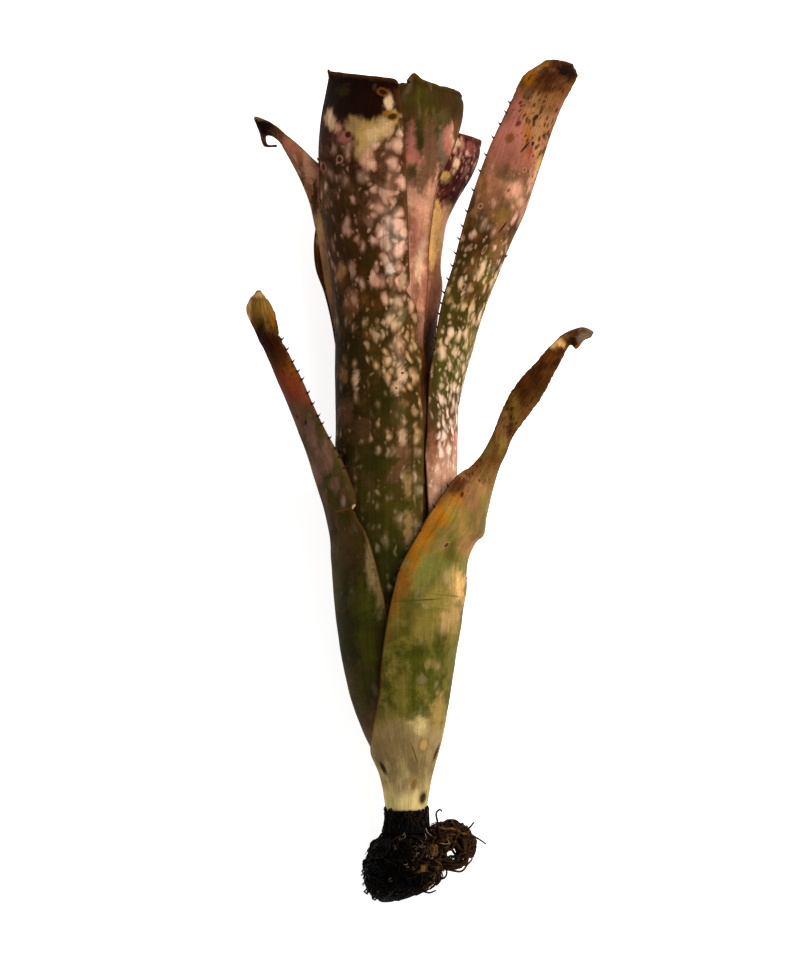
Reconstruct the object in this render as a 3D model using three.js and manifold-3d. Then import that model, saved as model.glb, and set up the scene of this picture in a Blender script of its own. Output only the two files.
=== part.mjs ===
// A bare-root billbergia: a tall tubular bromeliad with eight strap leaves, picked and laid on its back.
//
// The plant lies along Y, root ball towards -Y and leaf tips towards +Y, with its front facing up (+Z).
// Its own coordinates are used below: x across, h upwards along the plant from the foot of the lowest
// sheath, z above the surface that it lies on. Every leaf is a strip lofted through sections, and each
// section is an arc of a circle. In the rosette the arcs hug one common tube, layer inside layer.
// Lengths are in millimetres, angles in degrees. A direction of 0 faces up, 90 right, -90 left, 180 down.

import * as THREE from "three";
import { mergeVertices } from "three/addons/utils/BufferGeometryUtils.js";
import Module from "manifold-3d";

const wasm = await Module();
wasm.setup();

// Where the foot of the lowest sheath lies along Y, so that the origin is under the middle of the plant
const FOOT_Y = -141.5;

// The rosette's tube: its axis across (x) and above the surface (z), and its outer radius, along h
const TUBE_AXIS_X = [
  [-40, -6.5], [0, -5.8], [14, -6], [31, -7.6], [48, -9.4], [70, -10.1], [95, -9.5], [129, -9.7],
  [164, -9.2], [177, -10], [188, -11.2], [199, -12], [209, -11.8], [220, -11.4], [237, -11],
  [263, -10.3], [287, -9.5], [306, -9], [320, -9],
];
const TUBE_AXIS_Z = [
  [-40, 19], [0, 20.5], [14, 21.5], [31, 24], [48, 26.5], [70, 28.8], [95, 30.5], [129, 31.2],
  [164, 30.5], [320, 30.5],
];
const TUBE_RADIUS = [
  [0, 8.8], [14, 11.2], [31, 17.3], [48, 22.1], [70, 26.2], [95, 29.7], [113, 31], [129, 31.5],
  [164, 31.3], [177, 30.5], [188, 29.3], [199, 28.5], [209, 29], [220, 30], [237, 32.6], [263, 36.7],
  [287, 38.4], [306, 37.6], [320, 37.2],
];
// How far each layer of leaf lies inside the one before it
const LAYER_STEP = [[0, 1.45], [15, 1.45], [35, 1.6], [60, 1.75], [95, 1.95], [320, 2]];
const LEAF_THICKNESS = [[0, 0.85], [35, 0.9], [95, 1.1], [320, 1.1]];
const EDGE_THICKNESS = 0.65;

// Sections of every sheath stand at the same heights, so that the layers' facets run side by side
const SHEATH_HEIGHTS = [
  10, 15, 20, 35, 50, 65, 80, 95, 110, 125, 140, 155, 170, 184, 198, 212, 226, 240, 255, 270, 285, 300,
];

// Spines stand on a leaf's edge and lean towards its tip
const SPINE_LENGTH = 1.7;
const SPINE_RADIUS = 0.5;
const SPINE_SUNK = 0.7;
const SPINE_LEAN = 0.6;

// The stem is the core that the sheaths clasp, with a rounded growing point
const STEM_RADIUS = [
  [-26, 4.6], [-24, 5.6], [0, 5.7], [10, 5.6], [20, 5.4], [30, 5.2], [36, 4.9], [41, 4], [44.5, 1.6],
];
const STEM_SIDES = 14;
const STEM_GAP = 0.35;

// The collar of black fibres round the stem between the roots and the lowest sheath
const COLLAR = {
  bottom: -9.6, top: -0.4, radius: 9.1, ridge: 0.45, fibres: 26,
  flaps: 12, flapRadius: 0.95, flapLength: [3.4, 4.8], flapFoot: -1.9, flapLean: 17,
};

// The root ball's core: [h, x, z, half width, half depth]; the surface it lies on cuts it flat
const ROOT_CORE = [
  [-40, -14.6, 17.5, 2.4, 3.5], [-38, -12.8, 17.5, 7, 9.5], [-35, -10, 17.3, 11.4, 14.5],
  [-31, -8, 17.2, 14.8, 18.2], [-26, -7.2, 17.2, 15.7, 19.4], [-20, -6.8, 17.6, 15.2, 19],
  [-15, -6.9, 18.6, 14.6, 17.2], [-11.5, -6.3, 19.6, 12.4, 13.5], [-10, -5.4, 20, 9.3, 9.5],
];
const CORE_SIDES = 20;
const CORE_LUMP = 0.7;
const SURFACE_ROOTS = {
  count: 28, radius: 0.75, start: [-11.5, -20.5], length: [9, 22], lowest: -39, sunk: 2.5,
};

// The looser mat of roots at the ball's right: loops from the core out to an oval and back
const MAT = {
  loops: 11, radius: [0.65, 0.95], x: 12.8, h: -15.4, reachX: 11, reachH: 10.6, lowZ: 9, highZ: 27,
  core: { x: 11.8, h: -13.4, z: 18, halfWidth: 8.4, halfLength: 7, halfDepth: 6.6 },
};

// Wiry roots that stand clear of the mass, each as points [x, h, z] from inside the core outwards
const WIRY_ROOTS = [
  [[4, -16, 24], [8.4, -13, 27], [7.6, -5, 28.5], [7, -1, 28.5], [8.6, 0.6, 28], [9.6, -0.2, 27.5]],
  [[14, -12, 20], [19, -8.8, 22], [21.5, -7.4, 22.5], [23.4, -5, 23]],
  [[12, -15, 16], [20, -10.6, 17], [24.5, -12.2, 17], [28.8, -15, 16.5]],
  [[3, -24, 14], [13, -26.4, 13], [18, -27, 13], [20.6, -24, 14], [22.6, -21, 15], [19, -17, 16]],
  [[2, -25, 20], [7.8, -28.8, 20], [10, -29.6, 20], [11.6, -27.6, 19], [11, -22, 18]],
  [[-18, -20, 20], [-23, -26, 21], [-24, -29, 21], [-23, -33, 20.5]],
  [[-4, -34, 22], [1, -34.8, 23], [4, -35.6, 23], [7, -34.6, 22.5]],
];
const WIRY_RADIUS = 0.55;

// Pieces of bark held among the roots: centre [x, h, z], size and tilt about X, Y and Z
const BARK_CHIPS = [
  { at: [5.8, -17, 28.9], size: [4.2, 4.6, 2.4], tilt: [20, 48, 25] },
  { at: [-0.6, -24.6, 34.9], size: [7.4, 3.4, 2.2], tilt: [-8, 16, 8] },
  { at: [13.8, -9.6, 23.5], size: [4.8, 4, 2.4], tilt: [-24, 10, -20] },
];
const CHIP_GAP = 0.35;
const CHIP_UNEVEN = 0.7;

const SEED = 20771;
// Faces thinner than this, left where roots cross, are merged into their neighbours
const SLIVER = 0.04;

// Each leaf: its layer (0 outermost), foot height, segments across and colour.
// sheath rows: [h, direction of the left edge, direction of the right edge], hugging the tube.
// blade rows: [left x, left h, right x, right h, left edge's direction, right edge's direction, z of the
// arc's centre], where left and right are the ends of the section as seen from above.
// rim rows: [place across, rise], the shape of the leaf's end. spines: the edge and the heights.
const LEAVES = {
  leaf_right_outer: {
    layer: 0, foot: 0, across: 12, colour: 0x8a7a3c, roughness: 0.55,
    sheath: [
      [0, -150, 205], [10, -125, 204], [20, -93, 203], [29, -57, 201], [35, -42, 199.5], [41.7, -31, 198],
      [52.5, -20, 190], [70, -13.5, 165], [84.7, -8, 130], [95, -4, 104],
    ],
    extraHeights: [5, 24, 27.5, 31, 42],
    blade: [
      [-8.6, 105.8, 20.2, 103.2, 2, 97, 31.2], [-5.2, 112.2, 21.1, 109.2, 8, 95, 31],
      [-1.3, 119.1, 24.5, 116.1, 14, 94, 28], [3, 126.8, 27.5, 118.7, 20, 94, 24.5],
      [9.9, 137.2, 28.8, 126.4, 20, 94, 25], [15.5, 144.5, 30.5, 134.2, 10, 92, 27],
      [21.5, 148.8, 32.7, 142.8, -15, 85, 31], [25.8, 153.1, 34.4, 148.3, -35, 75, 34],
      [30.5, 161.2, 37, 153.9, -45, 65, 34.5], [33.5, 169, 40, 161.2, -50, 60, 34.5],
      [35.7, 174.6, 43.4, 166, -50, 60, 34.5], [39.1, 181, 47.7, 171.6, -50, 60, 34],
      [43.4, 187, 52.5, 178.4, -50, 60, 34], [49.9, 193.9, 56.8, 186.2, -50, 62, 33.5],
      [56.8, 201.7, 61.5, 195.2, -50, 65, 33.5], [61.9, 206, 64.9, 200.8, -50, 65, 33.5],
      [67.1, 208.1, 67.1, 199.1, -60, 65, 32.5], [72.2, 208.1, 71, 203, -60, 65, 31.5],
      [74.8, 206.4, 73.5, 204.2, -60, 60, 31],
    ],
    spines: { left: [104, 121, 131, 140], right: [100] },
  },
  leaf_left_outer: {
    layer: 1, foot: 5, across: 12, colour: 0x6f5a44, roughness: 0.55,
    sheath: [
      [5, -240, 110], [31, -235, 90], [48, -228, 60], [70, -220, 10], [80, -214, -5], [90, -205, -11],
      [101, -190, -17], [110, -165, -21],
    ],
    blade: [
      [-39.1, 119.1, -23.2, 120, -140, -25, 31.5], [-40.9, 128, -27.9, 128.9, -132, -27, 33.5],
      [-42.3, 133.3, -27.5, 134.2, -130, -22, 33], [-45.1, 141.9, -29.7, 141.9, -130, -18, 32],
      [-48.2, 152.2, -34, 152.2, -128, -14, 33], [-52.5, 163.8, -40.4, 163.8, -125, -10, 34],
      [-57.2, 175.9, -46, 175.4, -120, -5, 35], [-61.5, 185.8, -50.7, 186.2, -115, 0, 36],
      [-65.8, 195.7, -55.5, 195.7, -110, 10, 36], [-70.1, 204.7, -59.8, 204.7, -100, 20, 36],
      [-73.5, 212, -61.5, 212.4, -85, 35, 36], [-74.8, 216.3, -63.6, 217.6, -75, 45, 36],
      [-73.1, 220.6, -65.8, 221, -65, 55, 36.5], [-70.1, 224, -68.4, 224, -60, 60, 37],
    ],
    spines: {
      left: [],
      right: [148, 152, 156, 160, 166, 170, 175, 180, 185, 189, 193, 198, 203],
    },
  },
  leaf_front: {
    layer: 2, foot: 10, across: 12, colour: 0x5b4034, roughness: 0.42,
    sheath: [
      [10, -190, 150], [35, -182, 110], [60, -172, 70], [90, -162, 35], [108, -157, 25], [120, -152, 23.8],
      [150, -135, 23.5], [165, -115, 23.5], [177, -105, 23.5], [188, -99, 26.5], [196.5, -97, 30],
      [198, -96.5, 30.2], [200, -96, 24], [206, -94, 25], [211, -93, 25], [218.5, -92, 20.5],
      [221, -91, 15.5], [225, -90, 15], [237, -88, 12.7], [263, -83, 8.3], [275, -84, 6.5],
      [286.8, -84, 5], [300, -79, 2.2],
    ],
    extraHeights: [202, 207, 218.5, 221.5],
    blade: [
      [-39.8, 312.2, -8.6, 307, -69, 0.7, 30.2], [-38.7, 317.8, -9.2, 310.2, -64, 0.5, 30.5],
    ],
    rim: [[0, 0.8], [0.08, 0], [0.25, 0], [0.5, 0.5], [0.75, 1.6], [0.93, 2.4], [1, 0.6]],
    spines: { left: [280, 262], right: [] },
  },
  leaf_right_tall: {
    layer: 3, foot: 15, across: 12, colour: 0x8c6b52, roughness: 0.45,
    sheath: [
      [15, -110, 240], [40, -90, 220], [70, -60, 200], [100, 0, 180], [118, 26, 165], [129, 30.7, 158],
      [151, 27.5, 148], [155, 27, 147],
    ],
    blade: [
      [3, 163.4, 16.3, 163.4, 26, 140, 31], [3.4, 177.2, 17.2, 176.3, 18, 125, 31.5],
      [4.3, 189.2, 20.2, 189.2, 12, 112, 32], [6, 198.7, 22.8, 198.2, 6, 102, 32.5],
      [7.7, 210.7, 25.8, 209.8, 0, 95, 33], [10.3, 222.7, 30.1, 221.9, -6, 90, 33],
      [13.8, 233.9, 34.4, 232.2, -12, 85, 33], [16.8, 245.5, 39.1, 244.2, -16, 80, 33],
      [20.2, 258, 44.7, 256.3, -20, 75, 32.5], [25.4, 273.9, 49.9, 272.2, -25, 70, 32],
      [30.5, 287.2, 53.8, 283.8, -30, 65, 31.5], [35.7, 298.4, 58, 295.8, -33, 60, 31],
      [40.4, 308.7, 62.8, 306.6, -36, 56, 30.5], [43.4, 315.2, 66.2, 312.2, -38, 52, 30],
      [46.9, 318.6, 67.9, 316.1, -40, 50, 30], [53.8, 322.9, 65.8, 321.2, -40, 50, 30],
    ],
    rim: [[0, 0], [0.5, 0.8], [1, 0]],
    spines: {
      left: [
        198, 203, 208, 213, 218, 222.5, 228, 234, 239, 245, 251, 257.5, 266, 274, 281, 288.5, 294.5, 300, 304,
      ],
      right: [238],
    },
  },
  leaf_front_right: {
    layer: 4, foot: 20, across: 10, colour: 0x6b5a3c, roughness: 0.42,
    sheath: [
      [20, -120, 190], [60, -90, 150], [100, -65, 110], [150, -50, 70], [175, -45, 55], [198.7, -42, 42],
      [211.6, -41, 41], [224.5, -40, 40], [237.4, -40, 36], [261, -38, 34.9], [271.8, -35, 38.8],
      [286.8, -30, 54.6], [298.4, -26, 67], [300, -26, 67.5],
    ],
    blade: [[-22.6, 307.5, 18.6, 304.5, -24, 69, 30.5], [-19.4, 308.3, 17.2, 308.3, -18, 66, 30.5]],
    rim: [
      [0, 1.3], [0.24, 1.3], [0.28, 3], [0.34, 3.4], [0.38, 7.7], [0.45, 5.2], [0.54, 3.9], [0.68, 2.2],
      [0.85, 1.3], [0.957, 0], [1, -1.2],
    ],
    spines: { left: [], right: [] },
  },
  leaf_right_inner: {
    layer: 5, foot: 25, across: 10, colour: 0x7a4a48, roughness: 0.42,
    sheath: [
      [25, -60, 220], [60, -40, 180], [100, -20, 160], [150, 0, 130], [200, 5, 105], [226, 5, 97],
    ],
    blade: [
      [-2.6, 236, 9, 235.4, 5, 92, 27.5], [-0.9, 244.7, 9.9, 243.8, 5, 88, 26],
      [0, 254.6, 11.6, 253.7, 6, 84, 25], [0.9, 264, 16.3, 263.6, 7, 82, 24],
      [2.1, 273.5, 22.4, 273.9, 8, 80, 24], [3.4, 283.8, 25.4, 281.6, 8, 80, 24],
      [5.6, 293.3, 26.2, 288.5, 5, 80, 24],
    ],
    rim: [[0, 0], [0.5, 0.8], [0.9, 0.6], [1, -0.8]],
    spines: { left: [], right: [] },
  },
  leaf_back: {
    layer: 6, foot: 30, across: 10, colour: 0x4d3426, roughness: 0.5,
    sheath: [
      [30, -290, -70], [60, -275, -80], [100, -255, -92], [150, -236, -112], [165, -230, -120],
    ],
    blade: [
      [-31.8, 184, 3.6, 184, -225, -118, 30.5], [-36, 198, 1.5, 198, -215, -121, 30.5],
      [-38.3, 210.7, -4.3, 210.7, -210, -125, 29.5], [-41.7, 224.5, -3.4, 224.5, -207, -125, 31.5],
      [-45.1, 233.9, -2.6, 233.9, -204, -125, 35], [-46, 242.9, -1.7, 242.9, -202, -125, 37],
      [-45.1, 252.8, -1.3, 252.8, -200, -125, 37.4], [-43, 263.2, -1.7, 263.2, -198, -124, 36],
      [-38.7, 275.2, -3.4, 275.2, -196, -128, 33.4], [-31, 286.8, -7.7, 286.8, -194, -133, 25.5],
      [-23.2, 293.3, -15.5, 293.3, -190, -140, 12],
    ],
    spines: { left: [], right: [] },
  },
  leaf_left_curled: {
    layer: 7, foot: 35, across: 10, colour: 0x9a7466, roughness: 0.5,
    sheath: [
      [35, -230, 0], [60, -215, -20], [100, -195, -40], [150, -165, -50], [170, -150, -45],
    ],
    blade: [
      [-29, 184, -21.9, 184, -125, -32, 27], [-34.5, 200, -21.7, 200, -88, -10, 22.5],
      [-37, 208, -21.5, 208, -76, 0, 20], [-38.6, 216, -22.6, 216, -66, 5, 19],
      [-40.9, 226.6, -26.2, 226.6, -68, 5, 18], [-42.6, 236.5, -29.3, 236.5, -68, 8, 17.5],
      [-43.9, 244.7, -31.5, 245.1, -67, 12, 18.5], [-45.6, 252.8, -34.6, 255, -68, 15, 20.5],
      [-47.7, 262.3, -37.2, 266, -66, 25, 23], [-50.3, 269.2, -39.6, 275, -66, 40, 25.5],
      [-52.9, 274.8, -46.5, 281.5, -70, 45, 28], [-55.9, 280.4, -52, 286.8, -75, 50, 29.5],
      [-58.9, 285.5, -57.2, 291.1, -75, 50, 31], [-61.9, 289.4, -64.1, 296.7, -75, 50, 32],
      [-65.4, 290.7, -71.4, 298.9, -75, 50, 32.5], [-66.2, 289, -69.2, 292.4, -75, 50, 32.5],
      [-65.4, 287.2, -67.5, 286.4, -75, 50, 32], [-61.5, 287.2, -61.9, 285.7, -75, 50, 31.5],
    ],
    spines: { left: [], right: [] },
  },
};

const radians = THREE.MathUtils.degToRad;

// A smooth curve through chosen points that never swings past them
function curveThrough(points) {
  const xs = points.map((point) => point[0]);
  const ys = points.map((point) => point[1]);
  const last = xs.length - 1;
  const chords = xs.slice(1).map((x, i) => (ys[i + 1] - ys[i]) / (x - xs[i]));
  const slopes = xs.map((x, i) => {
    if (i === 0) return chords[0];
    if (i === last) return chords[last - 1];
    const product = chords[i - 1] * chords[i];
    return product <= 0 ? 0 : (2 * product) / (chords[i - 1] + chords[i]);
  });
  return (x) => {
    const at = Math.min(Math.max(x, xs[0]), xs[last]);
    let i = 0;
    while (i < last - 1 && at > xs[i + 1]) i += 1;
    const width = xs[i + 1] - xs[i];
    const t = (at - xs[i]) / width;
    const ends = ys[i] * (2 * t ** 3 - 3 * t ** 2 + 1) + ys[i + 1] * (3 * t ** 2 - 2 * t ** 3);
    const bends = slopes[i] * (t ** 3 - 2 * t ** 2 + t) + slopes[i + 1] * (t ** 3 - t ** 2);
    return ends + bends * width;
  };
}

const axisX = curveThrough(TUBE_AXIS_X);
const axisZ = curveThrough(TUBE_AXIS_Z);
const tubeRadius = curveThrough(TUBE_RADIUS);
const layerStep = curveThrough(LAYER_STEP);
const leafThickness = curveThrough(LEAF_THICKNESS);
const stemRadius = curveThrough(STEM_RADIUS);

// The least and greatest sine met while turning from one direction to another
function sineSpan(from, to) {
  const sines = [Math.sin(radians(from)), Math.sin(radians(to))];
  for (const turn of [-270, -90, 90, 270]) {
    if (turn > from && turn < to) sines.push(Math.sin(radians(turn)));
  }
  return [Math.min(...sines), Math.max(...sines)];
}

// A section that hugs the tube in the leaf's own layer
function sheathSection(leaf, h, from, to) {
  const radius = tubeRadius(h) - leaf.layer * layerStep(h);
  const centre = new THREE.Vector3(axisX(h), h, axisZ(h));
  return { centre, radius, across: new THREE.Vector3(1, 0, 0), from, to, height: h };
}

// A free section, whose arc reaches from its left end to its right end as seen from above
function bladeSection([leftX, leftH, rightX, rightH, from, to, depth]) {
  const across = new THREE.Vector3(rightX - leftX, rightH - leftH, 0);
  const [low, high] = sineSpan(from, to);
  const radius = across.length() / (high - low);
  across.normalize();
  const centre = new THREE.Vector3(leftX, leftH, depth).addScaledVector(across, -low * radius);
  return { centre, radius, across, from, to, height: (leftH + rightH) / 2 };
}

function leafSections(leaf) {
  const fromAt = curveThrough(leaf.sheath.map(([h, from]) => [h, from]));
  const toAt = curveThrough(leaf.sheath.map(([h, , to]) => [h, to]));
  const top = leaf.sheath[leaf.sheath.length - 1][0];
  const between = SHEATH_HEIGHTS.filter((h) => h > leaf.foot + 2 && h < top - 2);
  const heights = [leaf.foot, ...between, ...(leaf.extraHeights ?? []), top].sort((a, b) => a - b);
  const sheath = heights.map((h) => sheathSection(leaf, h, fromAt(h), toAt(h)));
  return [...sheath, ...leaf.blade.map(bladeSection)];
}

// A point of the leaf's outer face: place across runs from 0 at the left edge to 1 at the right edge
function sectionPoint(section, place) {
  const turn = radians(THREE.MathUtils.lerp(section.from, section.to, place));
  const point = section.centre.clone();
  point.addScaledVector(section.across, Math.sin(turn) * section.radius);
  point.z = Math.max(point.z + Math.cos(turn) * section.radius, 0);
  return point;
}

// The outer face as a grid of points, with the end's rim raised along the leaf
function outerGrid(leaf) {
  const sections = leafSections(leaf);
  const places = Array.from({ length: leaf.across + 1 }, (_, i) => i / leaf.across);
  const grid = sections.map((section) => places.map((place) => sectionPoint(section, place)));
  if (leaf.rim) {
    const rise = curveThrough(leaf.rim);
    const end = sections[sections.length - 1].across;
    const along = new THREE.Vector3(-end.y, end.x, 0);
    grid[grid.length - 1].forEach((point, i) => point.addScaledVector(along, rise(places[i])));
  }
  return { sections, places, grid };
}

// The direction square to the grid at one of its points, pointing out of the leaf's outer face
function gridNormal(grid, row, column) {
  const up = grid[Math.min(row + 1, grid.length - 1)][column].clone();
  up.sub(grid[Math.max(row - 1, 0)][column]);
  const last = grid[row].length - 1;
  const right = grid[row][Math.min(column + 1, last)].clone();
  right.sub(grid[row][Math.max(column - 1, 0)]);
  return right.cross(up).normalize();
}

// The leaf as a closed shell: outer face, inner face set in by the thickness, and the walls round them
function leafGeometry(leaf) {
  const { sections, places, grid } = outerGrid(leaf);
  const rows = grid.length;
  const columns = places.length;
  const positions = [];
  const push = (point) => positions.push(point.x, point.y, point.z);
  grid.forEach((line) => line.forEach(push));
  grid.forEach((line, row) => line.forEach((point, column) => {
    const full = leafThickness(sections[row].height);
    const nearEdge = Math.abs(2 * places[column] - 1) ** 4;
    const thickness = full + (EDGE_THICKNESS - full) * nearEdge;
    push(point.clone().addScaledVector(gridNormal(grid, row, column), -thickness));
  }));
  const outer = (row, column) => row * columns + column;
  const inner = (row, column) => rows * columns + outer(row, column);
  const faces = [];
  for (let row = 0; row < rows - 1; row += 1) {
    for (let column = 0; column < columns - 1; column += 1) {
      const corners = [[row, column], [row, column + 1], [row + 1, column + 1], [row + 1, column]];
      const first = grid[row][column].distanceTo(grid[row + 1][column + 1]);
      const second = grid[row][column + 1].distanceTo(grid[row + 1][column]);
      const start = first <= second ? 0 : 1;
      const [a, b, c, d] = [0, 1, 2, 3].map((i) => corners[(i + start) % 4]);
      faces.push(outer(...a), outer(...b), outer(...c), outer(...a), outer(...c), outer(...d));
      faces.push(inner(...a), inner(...c), inner(...b), inner(...a), inner(...d), inner(...c));
    }
  }
  const wall = (p, q) => {
    faces.push(outer(...q), outer(...p), inner(...p), outer(...q), inner(...p), inner(...q));
  };
  for (let row = 0; row < rows - 1; row += 1) {
    wall([row + 1, 0], [row, 0]);
    wall([row, columns - 1], [row + 1, columns - 1]);
  }
  for (let column = 0; column < columns - 1; column += 1) {
    wall([0, column], [0, column + 1]);
    wall([rows - 1, column + 1], [rows - 1, column]);
  }
  return meshGeometry(positions, faces);
}

function meshGeometry(positions, faces) {
  const geometry = new THREE.BufferGeometry();
  geometry.setAttribute("position", new THREE.Float32BufferAttribute(positions, 3));
  geometry.setIndex(faces);
  return geometry;
}

// A closed solid through rings of points, capped at both ends. Each ring has the same number of points
// and turns anticlockwise as seen from the last ring, so that the faces point outwards.
function ringGeometry(rings) {
  const count = rings[0].length;
  const positions = rings.flat().flatMap((point) => [point.x, point.y, point.z]);
  const faces = [];
  for (let ring = 0; ring < rings.length - 1; ring += 1) {
    for (let i = 0; i < count; i += 1) {
      const next = (i + 1) % count;
      const a = ring * count + i;
      const b = ring * count + next;
      faces.push(a, b, b + count, a, b + count, a + count);
    }
  }
  const end = (rings.length - 1) * count;
  for (let i = 1; i < count - 1; i += 1) {
    faces.push(0, i + 1, i);
    faces.push(end, end + i, end + i + 1);
  }
  return meshGeometry(positions, faces);
}

// A round ring in a plane across the plant
function plantRing(h, x, z, radiusX, radiusZ, sides) {
  return Array.from({ length: sides }, (_, i) => {
    const turn = (2 * Math.PI * i) / sides;
    return new THREE.Vector3(x + radiusX * Math.sin(turn), h, z + radiusZ * Math.cos(turn));
  });
}

// A root: a thin tapered strand along a curve through a few points
function strandGeometry(points, radius, tipRadius, steps, sides) {
  const path = new THREE.CatmullRomCurve3(points);
  const frames = path.computeFrenetFrames(steps, false);
  const rings = Array.from({ length: steps + 1 }, (_, k) => {
    const centre = path.getPointAt(k / steps);
    const size = THREE.MathUtils.lerp(radius, tipRadius, k / steps);
    return Array.from({ length: sides }, (__, i) => {
      const turn = (2 * Math.PI * i) / sides;
      const offset = frames.normals[k].clone().multiplyScalar(Math.cos(turn) * size);
      offset.addScaledVector(frames.binormals[k], Math.sin(turn) * size);
      return centre.clone().add(offset);
    });
  });
  return ringGeometry(rings);
}

function toSolid(geometry) {
  const bare = geometry.clone();
  bare.deleteAttribute("normal");
  bare.deleteAttribute("uv");
  const merged = mergeVertices(bare, 1e-5);
  const vertProperties = new Float32Array(merged.attributes.position.array);
  const triVerts = new Uint32Array(merged.index.array);
  return new wasm.Manifold(new wasm.Mesh({ numProp: 3, vertProperties, triVerts }));
}

function toGeometry(solid) {
  const mesh = solid.getMesh();
  return meshGeometry(Array.from(mesh.vertProperties), Array.from(mesh.triVerts));
}

// Spines along one edge of a leaf, each a three-sided point sunk into the edge
function leafSpines(leaf, side) {
  const { sections, grid } = outerGrid(leaf);
  const edge = side === "left" ? 0 : leaf.across;
  const neighbour = side === "left" ? 1 : leaf.across - 1;
  const pieces = [];
  for (const h of leaf.spines[side]) {
    let row = 0;
    while (row < grid.length - 2 && grid[row + 1][edge].y < h) row += 1;
    const low = grid[row][edge];
    const high = grid[row + 1][edge];
    const t = THREE.MathUtils.clamp((h - low.y) / (high.y - low.y), 0, 1);
    const normal = gridNormal(grid, row, edge);
    const base = low.clone().lerp(high, t).addScaledVector(normal, -EDGE_THICKNESS / 2);
    const inside = grid[row][neighbour].clone().lerp(grid[row + 1][neighbour], t);
    const outwards = base.clone().sub(inside).normalize();
    const tipwards = high.clone().sub(low).normalize();
    const lean = outwards.clone().addScaledVector(tipwards, SPINE_LEAN).normalize();
    const cone = new THREE.ConeGeometry(SPINE_RADIUS, SPINE_LENGTH + SPINE_SUNK, 3);
    cone.translate(0, (SPINE_LENGTH - SPINE_SUNK) / 2, 0);
    cone.applyQuaternion(new THREE.Quaternion().setFromUnitVectors(new THREE.Vector3(0, 1, 0), lean));
    cone.translate(base.x, base.y, base.z);
    pieces.push(toSolid(cone));
  }
  return pieces;
}

function leafSolid(leaf) {
  let solid = toSolid(leafGeometry(leaf));
  for (const spine of [...leafSpines(leaf, "left"), ...leafSpines(leaf, "right")]) {
    solid = solid.add(spine);
  }
  return solid;
}

// A fixed stream of numbers from 0 to 1, the same at every run
function randomStream(seed) {
  let state = seed;
  return () => {
    state = (state * 16807) % 2147483647;
    return state / 2147483647;
  };
}

const point3 = ([x, h, z]) => new THREE.Vector3(x, h, z);

function stemSolid(gap) {
  const heights = STEM_RADIUS.map((row) => row[0]);
  const rings = heights.map((h) => {
    const radius = stemRadius(h) + gap;
    const place = h === heights[0] ? h - gap : h;
    return plantRing(place, axisX(h), axisZ(h), radius, radius, STEM_SIDES);
  });
  return toSolid(ringGeometry(rings));
}

// The collar: a ridged sleeve of fibres, with ragged flaps that lap the foot of the lowest sheath
function collarSolid() {
  const random = randomStream(SEED);
  const sides = COLLAR.fibres * 2;
  const heights = [COLLAR.bottom, -6.5, -3, COLLAR.top];
  const rings = heights.map((h) => Array.from({ length: sides }, (_, i) => {
    const ridge = i % 2 === 0 ? COLLAR.ridge : -COLLAR.ridge * random();
    const turn = (2 * Math.PI * (i + 0.4 * random())) / sides;
    const radius = COLLAR.radius + ridge;
    return new THREE.Vector3(axisX(h) + radius * Math.sin(turn), h, axisZ(h) + radius * Math.cos(turn));
  }));
  let solid = toSolid(ringGeometry(rings));
  for (let i = 0; i < COLLAR.flaps; i += 1) {
    const turn = (2 * Math.PI * (i + 0.5 * random())) / COLLAR.flaps;
    const length = THREE.MathUtils.lerp(...COLLAR.flapLength, random());
    const flap = new THREE.ConeGeometry(COLLAR.flapRadius, length, 3);
    flap.translate(0, length / 2, 0);
    flap.rotateZ(-radians(COLLAR.flapLean));
    flap.translate(COLLAR.radius + COLLAR.ridge, COLLAR.flapFoot, 0);
    flap.rotateY(turn);
    flap.translate(axisX(0), 0, axisZ(0));
    solid = solid.add(toSolid(flap));
  }
  return solid.subtract(stemSolid(STEM_GAP));
}

// The room that the collar takes, which the roots keep clear of
function collarRoom() {
  const rings = [COLLAR.bottom - 0.3, 2].map((h) => {
    const radius = COLLAR.radius + 0.9;
    return plantRing(h, axisX(0), axisZ(0), radius, radius, CORE_SIDES);
  });
  return toSolid(ringGeometry(rings));
}

const coreX = curveThrough(ROOT_CORE.map((row) => [row[0], row[1]]));
const coreZ = curveThrough(ROOT_CORE.map((row) => [row[0], row[2]]));
const coreWidth = curveThrough(ROOT_CORE.map((row) => [row[0], row[3]]));
const coreDepth = curveThrough(ROOT_CORE.map((row) => [row[0], row[4]]));

// A point of the core's surface, raised by some millimetres
function corePoint(h, turn, rise) {
  const x = coreX(h) + (coreWidth(h) + rise) * Math.sin(turn);
  return new THREE.Vector3(x, h, coreZ(h) + (coreDepth(h) + rise) * Math.cos(turn));
}

// Roots that run down the core's surface, half sunk, and stand out of it at their tips
function surfaceRoots(random) {
  const { count, radius, lowest, sunk } = SURFACE_ROOTS;
  return Array.from({ length: count }, (_, i) => {
    const turn = (2 * Math.PI * (i + random())) / count;
    const start = THREE.MathUtils.lerp(...SURFACE_ROOTS.start, random());
    const length = THREE.MathUtils.lerp(...SURFACE_ROOTS.length, random());
    const sway = 1.3 * (random() - 0.5);
    const tip = 0.6 + 1.6 * random();
    const points = [0, 0.25, 0.5, 0.75, 1].map((t) => {
      const wave = 0.1 + 0.9 * Math.sin(9 * t + i);
      const rise = t === 0 ? -sunk : wave + (t === 1 ? tip : 0);
      const bend = sway * t + 0.12 * Math.sin(7 * t + 2 * i);
      return corePoint(Math.max(start - length * t, lowest), turn + bend, rise);
    });
    return strandGeometry(points, radius, radius * 0.6, 5, 3);
  });
}

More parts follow.
